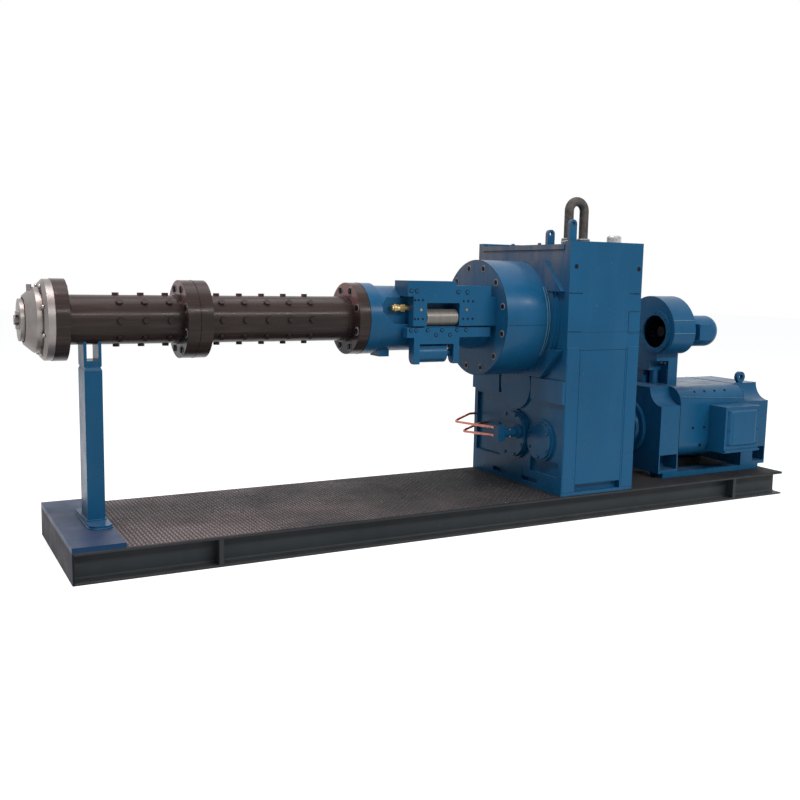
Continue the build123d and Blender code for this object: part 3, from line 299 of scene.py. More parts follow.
def rolled_rail(name, middle_y, outer_side):
    """A rolled wide flange beam with root fillets, and two snipped stiffeners in its outer recess."""
    half, height, web, flange, root = 0.075, 0.150, 0.0035, 0.010, 0.011
    quarter = [(web, height / 2), (web, height - flange - root)]
    for step in range(1, 5):
        turn = math.pi / 2 * step / 4
        quarter.append((web + root - root * math.cos(turn), height - flange - root + root * math.sin(turn)))
    quarter += [(half - 0.002, height - flange), (half, height - flange + 0.002), (half, height)]
    right = [(y, height - z) for y, z in quarter[1:]][::-1] + quarter
    outline = right + [(-y, z) for y, z in right[::-1]]
    points = [(x, middle_y + y, z) for x in (-2.340, 2.350) for y, z in outline]
    count = len(outline)
    faces = [tuple(range(count)), tuple(range(2 * count - 1, count - 1, -1))]
    faces += [(k, count + k, count + (k + 1) % count, (k + 1) % count) for k in range(count)]
    for start_x, end_x in ((-1.654, -1.631), (1.885, 1.908)):
        first = len(points)
        plate = [(web, 0.024), (web + 0.014, 0.010), (half - 0.001, 0.010), (half - 0.001, 0.140),
                 (web + 0.014, 0.140), (web, 0.126)]
        for x in (start_x, end_x):
            points += [(x, middle_y + outer_side * y, z) for y, z in plate]
        faces += [tuple(range(first, first + 6)), tuple(range(first + 11, first + 5, -1))]
        faces += [(first + k, first + 6 + k, first + 6 + (k + 1) % 6, first + (k + 1) % 6) for k in range(6)]
    mesh = bpy.data.meshes.new(name)
    mesh.from_pydata(points, [], faces)
    even_out(mesh)
    mesh.materials.append(frame_black)
    rail = bpy.data.objects.new(name, mesh)
    scene.collection.objects.link(rail)
    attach(rail, "frame")
    return rail


def even_out(mesh):
    """Turns every face outward."""
    shell = bmesh.new()
    shell.from_mesh(mesh)
    bmesh.ops.recalc_face_normals(shell, faces=shell.faces)
    shell.to_mesh(mesh)
    shell.free()


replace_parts(rolled_rail("front_rolled_rail", -0.415, -1), "front_rail")
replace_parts(rolled_rail("rear_rolled_rail", 0.415, 1), "rear_rail")
beads = bead_tree()
weld_points = []
weld_edges = []
for rail_side in (-1, 1):
    for weld_x in (-1.655, -1.630, 1.884, 1.909):
        web = rail_side * 0.4195
        tip = rail_side * 0.486
        count = len(weld_points)
        weld_points += [(weld_x, tip, 0.011), (weld_x, web + rail_side * 0.014, 0.011), (weld_x, web, 0.025),
                        (weld_x, web, 0.125), (weld_x, web + rail_side * 0.014, 0.139), (weld_x, tip, 0.139)]
        weld_edges += [(count + k, count + k + 1) for k in range(5)]
apply_tree("rail_welds", weld_points, weld_edges, None, beads,
           {"Width": 0.007, "Ripple": 0.5, "Step": 0.008, "Finish": frame_black}, "frame")

# The end plate closes the frame at the die end and is painted blue black. The foot
# plate on top is painted with the machine, and a fillet weld runs along its edge.
machine_blue = paint_finish("machine_blue", printed(24, 92, 134), printed(74, 116, 142), printed(118, 122, 130),
                            0.28, 0.08, -0.012, 0.22)
end_black = paint_finish("end_black", printed(24, 28, 42), printed(38, 42, 54), printed(60, 64, 74), 0.6, 0.08, -0.01, 0.2)
foot_blue = paint_finish("foot_blue", printed(24, 66, 104), printed(62, 78, 108), printed(74, 78, 100), 0.42, 0.08, 0.0, 0.55)
dress(foot_blue, "machine_blue", "foot_plate")
dress(end_black, "frame_paint", "end_plate")
apply_tree("foot_plate_weld", [(-2.100, -0.47, 0.1565), (-2.100, 0.47, 0.1565)], [(0, 1)], None, beads,
           {"Width": 0.009, "Ripple": 0.4, "Step": 0.01, "Finish": frame_black}, "frame")

# The deck is chequer plate from the foot plate to the gearbox: thin steel with rolled lozenges that lie crosswise by
# turns, painted black and worn bright in places, with wear and painted light that make it paler and pinker towards the
# die end.
deck_black = paint_finish("deck_black", printed(30, 33, 35), printed(104, 94, 94), printed(70, 66, 66),
                          0.62, 0.10, 0.0, 0.3, 0.6)
lozenge_worn = paint_finish("lozenge_worn", printed(58, 60, 62), printed(176, 166, 168), printed(112, 106, 108),
                            0.42, 0.10, 0.03, 0.4, 0.9)
dress(deck_black, "deck_plate", "deck")


def lozenge_tree():
    """Node tree that sets rolled lozenges on a square grid, turned one way and the other."""
    tree = bpy.data.node_groups.new("chequer_lozenges", "GeometryNodeTree")
    tree.interface.new_socket("Centres", in_out="INPUT", socket_type="NodeSocketGeometry")
    for name, start in (("Length", 0.03), ("Width", 0.009), ("Rise", 0.0016)):
        tree.interface.new_socket(name, in_out="INPUT", socket_type="NodeSocketFloat").default_value = start
    tree.interface.new_socket("Finish", in_out="INPUT", socket_type="NodeSocketMaterial")
    tree.interface.new_socket("Lozenges", in_out="OUTPUT", socket_type="NodeSocketGeometry")
    given = fit_node(tree, "NodeGroupInput")
    stub = fit_node(tree, "GeometryNodeMeshCone", {"Vertices": 4, "Radius Top": 0.26, "Radius Bottom": 0.5, "Depth": 1.0})
    size = fit_node(tree, "ShaderNodeCombineXYZ", {0: given.outputs["Length"], 1: given.outputs["Width"],
                                                  2: given.outputs["Rise"]})
    shaped = fit_node(tree, "GeometryNodeTransform", {"Geometry": stub.outputs[0], "Scale": size.outputs[0]})
    facing = fit_node(tree, "GeometryNodeInputNamedAttribute", {"Name": "facing"}, data_type="FLOAT_VECTOR")
    turned = fit_node(tree, "FunctionNodeAlignRotationToVector", {"Vector": facing.outputs[0]}, axis="X")
    spots = fit_node(tree, "GeometryNodeMeshToPoints", {"Mesh": given.outputs["Centres"]})
    placed = fit_node(tree, "GeometryNodeInstanceOnPoints", {"Points": spots.outputs[0], "Instance": shaped.outputs[0],
                                                             "Rotation": turned.outputs[0]})
    solid = fit_node(tree, "GeometryNodeRealizeInstances", {"Geometry": placed.outputs[0]})
    done = fit_node(tree, "GeometryNodeSetMaterial", {"Geometry": solid.outputs[0], "Material": given.outputs["Finish"]})
    fit_node(tree, "NodeGroupOutput", {"Lozenges": done.outputs[0]})
    return tree


lozenge_pitch = 0.021
lozenge_points = []
lozenge_facings = []
for along in range(119):
    for across in range(46):
        lozenge_points.append((-2.082 + along * lozenge_pitch, -0.4725 + across * lozenge_pitch, 0.1554))
        lozenge_facings.append((1, 1 if (along + across) % 2 else -1, 0))
apply_tree("deck_lozenges", lozenge_points, [], lozenge_facings, lozenge_tree(),
           {"Length": 0.021, "Width": 0.0075, "Rise": 0.0026, "Finish": lozenge_worn}, "frame")

# The support post is a rectangular tube with a welded cap, foot and saddle, all blue.
# A glossy fillet weld runs round the tube where it meets its foot.
dress(machine_blue, "machine_blue", "support_post", "post_foot", "saddle")


def ring_edges(count, start=0):
    """Edges that close a ring of points."""
    return [(start + index, start + (index + 1) % count) for index in range(count)]


foot_weld = [(-2.207, -0.087, 0.198), (-2.117, -0.087, 0.198), (-2.117, 0.087, 0.198), (-2.207, 0.087, 0.198)]
plate_weld = [(-2.2185, -0.186, 0.182), (-2.194, -0.2105, 0.182), (-2.130, -0.2105, 0.182), (-2.1055, -0.186, 0.182),
              (-2.1055, 0.186, 0.182), (-2.130, 0.2105, 0.182), (-2.194, 0.2105, 0.182), (-2.2185, 0.186, 0.182)]
cap_weld = [(-2.197, -0.076, 0.971), (-2.127, -0.076, 0.971), (-2.127, 0.076, 0.971), (-2.197, 0.076, 0.971)]
apply_tree("post_welds", foot_weld + plate_weld + cap_weld,
           ring_edges(4) + ring_edges(8, 4) + ring_edges(4, 12), None, beads,
           {"Width": 0.009, "Ripple": 0.5, "Step": 0.007, "Finish": machine_blue}, "frame")

# The head is turned steel: a ring, a grooved drum with a coned nose and a face plate.
# It is left bare, with fine turning marks round its axis and a soft brown tarnish.


def turned_finish(name, bright, tarnish, rough, metal, mark_pitch, axis_height=1.2):
    """Turned metal with fine rings on its faces and bands round its barrel."""
    finish, tree, shader, place = start_finish(name)
    centred = fit_node(tree, "ShaderNodeMapping", {"Vector": place, "Location": (0, 0, -axis_height)}).outputs[0]
    faces = fit_node(tree, "ShaderNodeTexWave", {"Vector": centred, "Scale": mark_pitch, "Distortion": 0.4},
                     wave_type="RINGS", rings_direction="X").outputs["Fac"]
    bands = fit_node(tree, "ShaderNodeTexWave", {"Vector": place, "Scale": mark_pitch, "Distortion": 0.3},
                     wave_type="BANDS", bands_direction="X").outputs["Fac"]
    marks = fit_node(tree, "ShaderNodeMath", {0: faces, 1: bands}, operation="MULTIPLY").outputs[0]
    stain = spread(tree, cloud(tree, place, 7, 5), 0.42, 0.70, 0, 0.75)
    colour = blend_shades(tree, stain, bright, tarnish)
    fine = spread(tree, cloud(tree, place, 1, 3, (900, 14, 14)), 0.35, 0.65, 0, 0.25)
    colour = blend_shades(tree, fine, colour, tarnish)
    tree.links.new(colour, shader.inputs["Base Color"])
    shader.inputs["Metallic"].default_value = metal
    tree.links.new(spread(tree, cloud(tree, place, 12, 4), 0.3, 0.7, rough - 0.06, rough + 0.1),
                   shader.inputs["Roughness"])
    skin = fit_node(tree, "ShaderNodeBump", {"Height": marks, "Strength": 0.10, "Distance": 0.0006})
    tree.links.new(skin.outputs[0], shader.inputs["Normal"])
    return finish


head_steel = turned_finish("head_steel", printed(150, 146, 144), printed(108, 100, 96), 0.34, 0.55, 60)
dress(head_steel, "turned_steel", "head", "head_ring")


def bolt_tree(kind):
    """Node tree that seats bolts: hexagon heads on washers, or socket heads in a bright rim with a flat hexagon on top
    that paints the hex socket, dark as painted shade.
    """
    tree = bpy.data.node_groups.new(f"{kind}_bolts", "GeometryNodeTree")
    tree.interface.new_socket("Seats", in_out="INPUT", socket_type="NodeSocketGeometry")
    for name, start in (("Head Width", 0.02), ("Head Height", 0.01), ("Rim Width", 0.03), ("Rim Height", 0.002)):
        tree.interface.new_socket(name, in_out="INPUT", socket_type="NodeSocketFloat").default_value = start
    for name in ("Head Finish", "Rim Finish", "Socket Finish"):
        tree.interface.new_socket(name, in_out="INPUT", socket_type="NodeSocketMaterial")
    tree.interface.new_socket("Bolts", in_out="OUTPUT", socket_type="NodeSocketGeometry")
    given = fit_node(tree, "NodeGroupInput")

    def sized(geometry, width, height, lift, lift_share):
        """Scales a unit form to its width and height, and lifts it by a share of a height."""
        scale = fit_node(tree, "ShaderNodeCombineXYZ", {0: width, 1: width, 2: height})
        raised = fit_node(tree, "ShaderNodeMath", {0: lift, 1: lift_share}, operation="MULTIPLY")
        shift = fit_node(tree, "ShaderNodeCombineXYZ", {2: raised.outputs[0]})
        return fit_node(tree, "GeometryNodeTransform", {"Geometry": geometry, "Scale": scale.outputs[0],
                                                        "Translation": shift.outputs[0]}).outputs[0]

    def faced(geometry, finish):
        """Puts a finish on one form of the bolt."""
        return fit_node(tree, "GeometryNodeSetMaterial", {"Geometry": geometry, "Material": finish}).outputs[0]

    sides = 6 if kind == "hexagon" else 18
    width = given.outputs["Head Width"]
    height = given.outputs["Head Height"]
    shank = fit_node(tree, "GeometryNodeMeshCylinder", {"Vertices": sides, "Radius": 0.5, "Depth": 1.0}).outputs[0]
    crown = fit_node(tree, "GeometryNodeMeshCone", {"Vertices": sides, "Radius Top": 0.40, "Radius Bottom": 0.5,
                                                    "Depth": 0.22}).outputs[0]
    washer = fit_node(tree, "GeometryNodeMeshCylinder", {"Vertices": 24, "Radius": 0.5, "Depth": 1.0}).outputs[0]
    forms = [
        faced(sized(shank, width, height, height, 0.5), given.outputs["Head Finish"]),
        faced(sized(washer, given.outputs["Rim Width"], given.outputs["Rim Height"], given.outputs["Rim Height"], 0.5),
              given.outputs["Rim Finish"]),
        faced(sized(crown, width, height, height, 1.1), given.outputs["Head Finish"]),
    ]
    # The hex socket is not cut: a flat hexagon in the socket finish paints it, a painted shade where that finish is
    # dark.
    if kind == "socket":
        painted_socket = fit_node(tree, "GeometryNodeMeshCylinder", {"Vertices": 6, "Radius": 0.26, "Depth": 0.06}).outputs[0]
        forms.append(faced(sized(painted_socket, width, height, height, 1.21), given.outputs["Socket Finish"]))
    joined = fit_node(tree, "GeometryNodeJoinGeometry")
    for form in forms:
        tree.links.new(form, joined.inputs[0])
    facing = fit_node(tree, "GeometryNodeInputNamedAttribute", {"Name": "facing"}, data_type="FLOAT_VECTOR")
    turned = fit_node(tree, "FunctionNodeAlignRotationToVector", {"Vector": facing.outputs[0]}, axis="Z")
    spots = fit_node(tree, "GeometryNodeMeshToPoints", {"Mesh": given.outputs["Seats"]})
    placed = fit_node(tree, "GeometryNodeInstanceOnPoints", {"Points": spots.outputs[0], "Instance": joined.outputs[0],
                                                             "Rotation": turned.outputs[0]})
    solid = fit_node(tree, "GeometryNodeRealizeInstances", {"Geometry": placed.outputs[0]})
    kept = fit_node(tree, "GeometryNodeMaterialSelection", {"Material": given.outputs["Head Finish"]})
    done = fit_node(tree, "GeometryNodeSetMaterial", {"Geometry": solid.outputs[0], "Selection": kept.outputs[0],
                                                      "Material": given.outputs["Head Finish"]})
    fit_node(tree, "NodeGroupOutput", {"Bolts": done.outputs[0]})
    return tree


def steel_finish(name, bright, dull, rough, metal):
    """Bolt and fitting metal with a fine grain and a little tarnish."""
    finish, tree, shader, place = start_finish(name)
    stain = spread(tree, cloud(tree, place, 38, 4), 0.4, 0.7, 0, 0.7)
    tree.links.new(blend_shades(tree, stain, bright, dull), shader.inputs["Base Color"])
    shader.inputs["Metallic"].default_value = metal
    shader.inputs["Specular IOR Level"].default_value = 0.5 if metal > 0.3 else 0.08
    tree.links.new(spread(tree, cloud(tree, place, 90, 3), 0.3, 0.7, rough - 0.07, rough + 0.1),
                   shader.inputs["Roughness"])
    skin = fit_node(tree, "ShaderNodeBump", {"Height": cloud(tree, place, 420, 2), "Strength": 0.10, "Distance": 0.001})
    tree.links.new(skin.outputs[0], shader.inputs["Normal"])
    return finish


hexagon_bolts = bolt_tree("hexagon")
socket_bolts = bolt_tree("socket")
bolt_steel = steel_finish("bolt_steel", printed(176, 172, 170), printed(112, 104, 100), 0.32, 0.8)
# Black steel is the dark dull finish of black bolts and joints; on bolt heads in their seats and on sockets it also
# paints the shade of the recesses.
black_steel_and_shade = steel_finish("black_steel_and_shade", printed(26, 27, 30), printed(16, 17, 19), 0.5, 0.0)
worn_rim = steel_finish("worn_rim", printed(168, 164, 168), printed(104, 106, 112), 0.42, 0.1)


def ring_of_seats(station, radius, angles, facing_x, axis_height=1.2):
    """Bolt seats on a circle round the barrel line."""
    points = [(station, radius * math.cos(math.radians(a)), axis_height + radius * math.sin(math.radians(a)))
              for a in angles]
    return points, [(facing_x, 0, 0)] * len(points)


def seat_bolts(name, tree, seats, facings, head, rim, finishes, body="frame"):
    """Seats bolts, with head and rim as (width, height) and finishes for head, rim and socket."""
    return apply_tree(name, seats, [], facings, tree,
                      {"Head Width": head[0], "Head Height": head[1], "Rim Width": rim[0], "Rim Height": rim[1],
                       "Head Finish": finishes[0], "Rim Finish": finishes[1], "Socket Finish": finishes[2]},
                      body)


plate_seats, plate_facings = ring_of_seats(-2.491, 0.038, (0, 120, 240), -1)
seat_bolts("head_plate_bolts", hexagon_bolts, plate_seats, plate_facings, (0.024, 0.012), (0.030, 0.002),
           (bolt_steel, bolt_steel, black_steel_and_shade))
clamp_seats, clamp_facings = ring_of_seats(-2.396, 0.177, range(22, 382, 45), -1)
seat_bolts("head_ring_bolts", socket_bolts, clamp_seats, clamp_facings, (0.020, 0.007), (0.025, 0.001),
           (bolt_steel, head_steel, black_steel_and_shade))


def ring_line(station, radius, count=96, axis_height=1.2):
    """Points of a circle round the barrel line."""
    return [(station, radius * math.cos(2 * math.pi * k / count), axis_height + radius * math.sin(2 * math.pi * k / count))
            for k in range(count)]


def ring_lines(name, rings, width, finish):
    """Lays thin closed lines round the barrel line, each given as its station and radius."""
    points = []
    edges = []
    for station, radius in rings:
        edges += ring_edges(96, len(points))
        points += ring_line(station, radius)
    return apply_tree(name, points, edges, None, beads,
                      {"Width": width, "Ripple": 0.0, "Step": 0.012, "Finish": finish}, "frame")


ring_lines("head_joint_lines", ((-2.396, 0.1535), (-2.3455, 0.1990), (-2.4715, 0.1065)), 0.0022, black_steel_and_shade)

# The pin barrel is dark oiled steel in two flanged lengths. Socket bolts hold its
# flanges, collars back them, and hexagon pins reach in through spot faced seats.


def barrel_finish(name, shade, streak_and_lit_top, rough):
    """Dark oiled steel with turning bands, long streaks, painted pale light on faces that look up, and a painted pink
    glow of light on its upper side where it faces the die end.
    """
    finish, tree, shader, place = start_finish(name)
    slow = spread(tree, cloud(tree, place, 3.2, 4), 0.35, 0.65, 0, 1)
    colour = blend_shades(tree, slow, tuple(c * 0.78 for c in shade[:3]) + (1,), shade)
    streak = spread(tree, cloud(tree, place, 1, 4, (3, 60, 60)), 0.50, 0.72, 0, 0.4)
    colour = blend_shades(tree, streak, colour, streak_and_lit_top)
    # Faces that look up are painted paler, a painted light on the top of the barrel.
    up = fit_node(tree, "ShaderNodeSeparateXYZ", {0: fit_node(tree, "ShaderNodeNewGeometry").outputs["Normal"]}).outputs[2]
    colour = blend_shades(tree, spread(tree, up, 0.15, 1.0, 0, 0.25), colour, streak_and_lit_top)
    # Painted light: high faces that look towards the die end are painted pink, as if lit from above that end.
    side = fit_node(tree, "ShaderNodeSeparateXYZ", {0: fit_node(tree, "ShaderNodeNewGeometry").outputs["Normal"]}).outputs[0]
    painted_pink_glow = fit_node(tree, "ShaderNodeMath", {
        0: spread(tree, side, -0.7, -0.95, 0, 0.8),
        1: spread(tree, fit_node(tree, "ShaderNodeSeparateXYZ", {0: place}).outputs[2], 1.21, 1.37, 0, 1)},
        operation="MULTIPLY").outputs[0]
    colour = blend_shades(tree, painted_pink_glow, colour, (0.46, 0.24, 0.23, 1))
    tree.links.new(colour, shader.inputs["Base Color"])
    tree.links.new(spread(tree, cloud(tree, place, 9, 4), 0.3, 0.7, rough - 0.05, rough + 0.12),
                   shader.inputs["Roughness"])
    bands = fit_node(tree, "ShaderNodeTexWave", {"Vector": place, "Scale": 45, "Distortion": 1.5, "Detail": 2},
                     wave_type="BANDS", bands_direction="X").outputs["Fac"]
    skin = fit_node(tree, "ShaderNodeBump", {"Height": bands, "Strength": 0.06, "Distance": 0.001})
    tree.links.new(skin.outputs[0], shader.inputs["Normal"])
    shader.inputs["Specular IOR Level"].default_value = 0.12
    return finish


barrel_steel = barrel_finish("barrel_steel", printed(56, 49, 47), printed(88, 70, 68), 0.20)
dress(barrel_steel, "barrel_black", "barrel_front", "barrel_rear", "pins_front", "pins_rear")


def lathe_ring(name, profile, finish, segments=96, axis=(0, 1.2), body="frame"):
    """Turns a closed profile of (station, radius) round the barrel line or another axis along the machine."""
    points = []
    faces = []
    count = len(profile)
    for k in range(segments):
        turn = 2 * math.pi * k / segments
        for station, radius in profile:
            points.append((station, axis[0] + radius * math.cos(turn), axis[1] + radius * math.sin(turn)))
    for k in range(segments):
        following = (k + 1) % segments
        for p in range(count):
            q = (p + 1) % count
            faces.append((k * count + p, k * count + q, following * count + q, following * count + p))
    mesh = bpy.data.meshes.new(name)
    mesh.from_pydata(points, [], faces)
    even_out(mesh)
    shell = bpy.data.objects.new(name, mesh)
    scene.collection.objects.link(shell)
    mesh.materials.append(finish)
    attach(shell, body)
    return shell


for collar_name, collar_start, collar_end in (
    ("collar_head", -2.280, -2.262), ("collar_middle_front", -1.737, -1.715), ("collar_middle_rear", -1.583, -1.563),
    ("collar_rear", -0.785, -0.759),
):
    lathe_ring(collar_name, [(collar_start, 0.122), (collar_start, 0.1275), (collar_start + 0.002, 0.1295),
                             (collar_end - 0.002, 0.1295), (collar_end, 0.1295), (collar_end, 0.122)],
               barrel_steel)

flange_seats = []
flange_facings = []
for flange_station, flange_way in ((-1.715, -1), (-1.583, 1), (-0.759, -1), (-2.280, 1)):
    seats, facings = ring_of_seats(flange_station, 0.168, [22.5 + 45 * k for k in range(8)], flange_way)
    flange_seats += seats
    flange_facings += facings
seat_bolts("flange_bolts", socket_bolts, flange_seats, flange_facings, (0.034, 0.006), (0.050, 0.0014),
           (black_steel_and_shade, worn_rim, black_steel_and_shade))
ring_lines("flange_joint_lines", ((-1.649, 0.2021), (-0.693, 0.2021)), 0.003, black_steel_and_shade)

# The feed section is the blue barrel length with its roller box: a housing, a front
# cover with the feed window, and clamp bars above and below, all held by socket screws.
dress(machine_blue, "machine_blue", "feed_barrel", "roller_housing", "feed_cover", "upper_bar", "lower_bar",
      "bracket", "bracket_drum")
cover_face = -0.233
large_screws = [(-0.461, 1.363), (-0.426, 1.363), (-0.153, 1.360), (-0.092, 1.358)]
small_screws = [(-0.435, 1.312), (-0.414, 1.312), (-0.386, 1.312), (-0.435, 1.206), (-0.414, 1.206), (-0.384, 1.206),
                (-0.116, 1.308), (-0.085, 1.308), (-0.052, 1.306), (-0.116, 1.206), (-0.085, 1.206), (-0.052, 1.206)]
bar_screws = [(-0.459, 1.142), (-0.426, 1.142), (-0.352, 1.142), (-0.256, 1.142), (-0.156, 1.142), (-0.095, 1.142),
              (-0.295, 1.115), (-0.202, 1.115)]


def seat_on_front(name, places, face_y, head, rim, finishes, tree=None):
    """Seats screws on a face that looks towards the operator."""
    return seat_bolts(name, tree or socket_bolts, [(x, face_y, z) for x, z in places], [(0, -1, 0)] * len(places),
                      head, rim, finishes)


seat_on_front("ledge_screws", large_screws, cover_face, (0.018, 0.003), (0.027, 0.0008),
              (machine_blue, black_steel_and_shade, black_steel_and_shade))
seat_on_front("cover_screws", small_screws, cover_face, (0.010, 0.002), (0.013, 0.0008),
              (black_steel_and_shade, black_steel_and_shade, black_steel_and_shade))
seat_on_front("lower_bar_screws", bar_screws, cover_face, (0.015, 0.003), (0.024, 0.0008),
              (machine_blue, black_steel_and_shade, black_steel_and_shade))

# Brass grease nipples and the brass water union feed the roller box. The union's
# nut and collar are turned from bar and left bare.
brass = steel_finish("brass", printed(176, 158, 112), printed(112, 92, 56), 0.34, 0.75)
dress(brass, "brass_fittings", "water_union")
seat_on_front("grease_nipples", [(-0.397, 1.257), (-0.095, 1.257)], cover_face, (0.011, 0.006), (0.015, 0.0015),
              (brass, brass, brass))
lathe_ring("union_collar", [(-0.538, 0.010), (-0.538, 0.0215), (-0.533, 0.0225), (-0.522, 0.0225), (-0.519, 0.0195),
                            (-0.505, 0.0195), (-0.505, 0.010)], brass, 36, (-0.165, 1.265))

# The feed roller is ground steel on journals. It turns in the window and draws the
# rubber strip in, so it is worn bright, with faint rings left by the strip.


def roller_finish(name, bright, worn):
    """Ground steel with narrow rings along the roller and a satin sheen."""
    finish, tree, shader, place = start_finish(name)
    rings = spread(tree, cloud(tree, place, 1, 4, (70, 2, 2)), 0.35, 0.68, 0, 0.45)
    tree.links.new(blend_shades(tree, rings, bright, worn), shader.inputs["Base Color"])
    shader.inputs["Metallic"].default_value = 0.12
    tree.links.new(spread(tree, cloud(tree, place, 14, 4), 0.3, 0.7, 0.30, 0.46), shader.inputs["Roughness"])
    skin = fit_node(tree, "ShaderNodeBump", {"Height": cloud(tree, place, 1, 2, (700, 6, 6)), "Strength": 0.10,
                                             "Distance": 0.001})
    tree.links.new(skin.outputs[0], shader.inputs["Normal"])
    return finish


roller_steel = roller_finish("roller_steel", printed(122, 119, 113), printed(96, 92, 86))
dress(roller_steel, "roller_steel", "feed_roller")

# The thrust bearing housing is a blue casting on the gearbox front. Twelve socket
# bolts in machined seats hold its cover, and a joint line runs along its side.
dress(machine_blue, "machine_blue", "thrust_housing")
thrust_seats, thrust_facings = ring_of_seats(0.113, 0.308, range(15, 375, 30), -1)
seat_bolts("thrust_bolts", socket_bolts, thrust_seats, thrust_facings, (0.029, 0.004), (0.043, 0.0014),
           (black_steel_and_shade, worn_rim, black_steel_and_shade))
joint_y = -math.sqrt(0.3502 ** 2 - 0.028 ** 2)
apply_tree("thrust_joint_line", [(0.115, joint_y, 1.172), (0.400, joint_y, 1.172)], [(0, 1)], None, beads,
           {"Width": 0.002, "Ripple": 0.0, "Step": 0.02, "Finish": black_steel_and_shade}, "frame")
ring_lines("thrust_edge_lines", ((0.1135, 0.3495),), 0.002, black_steel_and_shade)
# A pale blue paint for painted highlights: three thin arcs on the front of the rear ring paint the light on its edges.
painted_highlight_blue = paint_finish("painted_highlight_blue", printed(96, 138, 158), printed(150, 176, 186), printed(150, 166, 172),
                         0.24, 0.06, 0.05, 0.2)
arc_points = []
arc_edges = []
for arc_x in (0.400, 0.416, 0.432):
    for k in range(25):
        turn = math.radians(146 + 3 * k)
        if k:
            arc_edges.append((len(arc_points) - 1, len(arc_points)))
        arc_points.append((arc_x, 0.3515 * math.cos(turn), 1.2 + 0.3515 * math.sin(turn)))
apply_tree("thrust_rear_highlight_arcs", arc_points, arc_edges, None, beads,
           {"Width": 0.005, "Ripple": 0.0, "Step": 0.01, "Finish": painted_highlight_blue}, "frame")

# The gearbox is a blue casting in two halves with a lid and a side cover. Its end caps are turned plates, and thin
# black discs in blue rings stand for the holes at its four corners, painted with the shade inside them.
dress(machine_blue, "machine_blue", "gearbox_upper_case", "gearbox_lower_case", "gearbox_lid", "gearbox_side_cover",
      "drive_cap", "middle_cap", "side_cap", "lifting_lug_1", "lifting_lug_2")
# Black discs in blue rings paint the shade inside the corner holes.
seat_on_front("corner_hole_shades", [(0.491, 1.519), (0.966, 1.512), (0.484, 0.353), (0.954, 0.350)], -0.485,
              (0.027, 0.0012), (0.034, 0.0006), (black_steel_and_shade, machine_blue, black_steel_and_shade))


def plate_on_front(name, x_range, z_range, back_y, thickness, finish, edge=0.003):
    """A thin plate with chamfered edges on a face that looks towards the operator."""
    x0, x1 = x_range
    z0, z1 = z_range
    points = []
    for y, inset in ((back_y, 0), (back_y - thickness + min(edge, thickness * 0.8), 0), (back_y - thickness, edge)):
        points += [(x0 + inset, y, z0 + inset), (x1 - inset, y, z0 + inset), (x1 - inset, y, z1 - inset),
                   (x0 + inset, y, z1 - inset)]
    faces = [(3, 2, 1, 0), (8, 9, 10, 11)]
    for layer in (0, 4):
        for k in range(4):
            faces.append((layer + k, layer + (k + 1) % 4, layer + 4 + (k + 1) % 4, layer + 4 + k))
    mesh = bpy.data.meshes.new(name)
    mesh.from_pydata(points, [], faces)
    mesh.materials.append(finish)
    plate = bpy.data.objects.new(name, mesh)
    scene.collection.objects.link(plate)
    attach(plate, "frame")
    return plate


plate_on_front("case_pad_rear", (0.905, 0.992), (0.175, 1.046), -0.4849, 0.004, machine_blue)
plate_on_front("case_pad_front", (0.448, 0.536), (0.175, 1.046), -0.4849, 0.004, machine_blue)
line_points = []
line_edges = []
for (start_x, start_z), (end_x, end_z) in (
    ((0.447, 1.3655), (0.546, 1.3655)), ((0.447, 1.140), (0.544, 1.140)), ((0.447, 1.0357), (0.542, 1.0357)),
    ((0.905, 1.365), (0.992, 1.365)), ((0.904, 1.2565), (0.992, 1.2565)), ((0.904, 1.1275), (0.992, 1.1275)),
    ((0.904, 1.2565), (0.904, 1.1275)), ((0.901, 1.030), (0.992, 1.030)),
):
    line_edges.append((len(line_points), len(line_points) + 1))
    line_points += [(start_x, -0.4849, start_z), (end_x, -0.4849, end_z)]
apply_tree("case_joint_lines", line_points, line_edges, None, beads,
           {"Width": 0.003, "Ripple": 0.0, "Step": 0.02, "Finish": black_steel_and_shade}, "frame")
cap_seats = []
for cap_y, cap_z, cap_radius, cap_station, cap_count in ((0, 0.465, 0.132, 0.405, 8), (-0.275, 0.465, 0.100, 0.420, 6)):
    for k in range(cap_count):
        turn = 2 * math.pi * (k + 0.5) / cap_count
        cap_seats.append((cap_station, cap_y + cap_radius * math.cos(turn), cap_z + cap_radius * math.sin(turn)))
cap_seats = [s for s in cap_seats if not (abs(s[1] + 0.082) < 0.07 and abs(s[2] - 0.491) < 0.07)]
seat_bolts("cap_bolts", hexagon_bolts, cap_seats, [(-1, 0, 0)] * len(cap_seats), (0.018, 0.007), (0.024, 0.0015),
           (machine_blue, machine_blue, black_steel_and_shade))
lid_seats = [(x, y, 1.647) for x in (0.475, 0.640, 0.800, 0.965) for y in (-0.405, 0.405)]
lid_seats += [(x, y, 1.647) for x in (0.475, 0.965) for y in (-0.14, 0.14)]
seat_bolts("lid_bolts", hexagon_bolts, lid_seats, [(0, 0, 1)] * len(lid_seats), (0.024, 0.010), (0.030, 0.002),
           (machine_blue, machine_blue, black_steel_and_shade))
# A black line under the front edge of the lid is a painted shadow.
apply_tree("lid_shadow_line", [(0.4445, -0.43, 1.6165), (0.4445, 0.43, 1.6165)], [(0, 1)], None, beads,
           {"Width": 0.004, "Ripple": 0.0, "Step": 0.04, "Finish": black_steel_and_shade}, "frame")

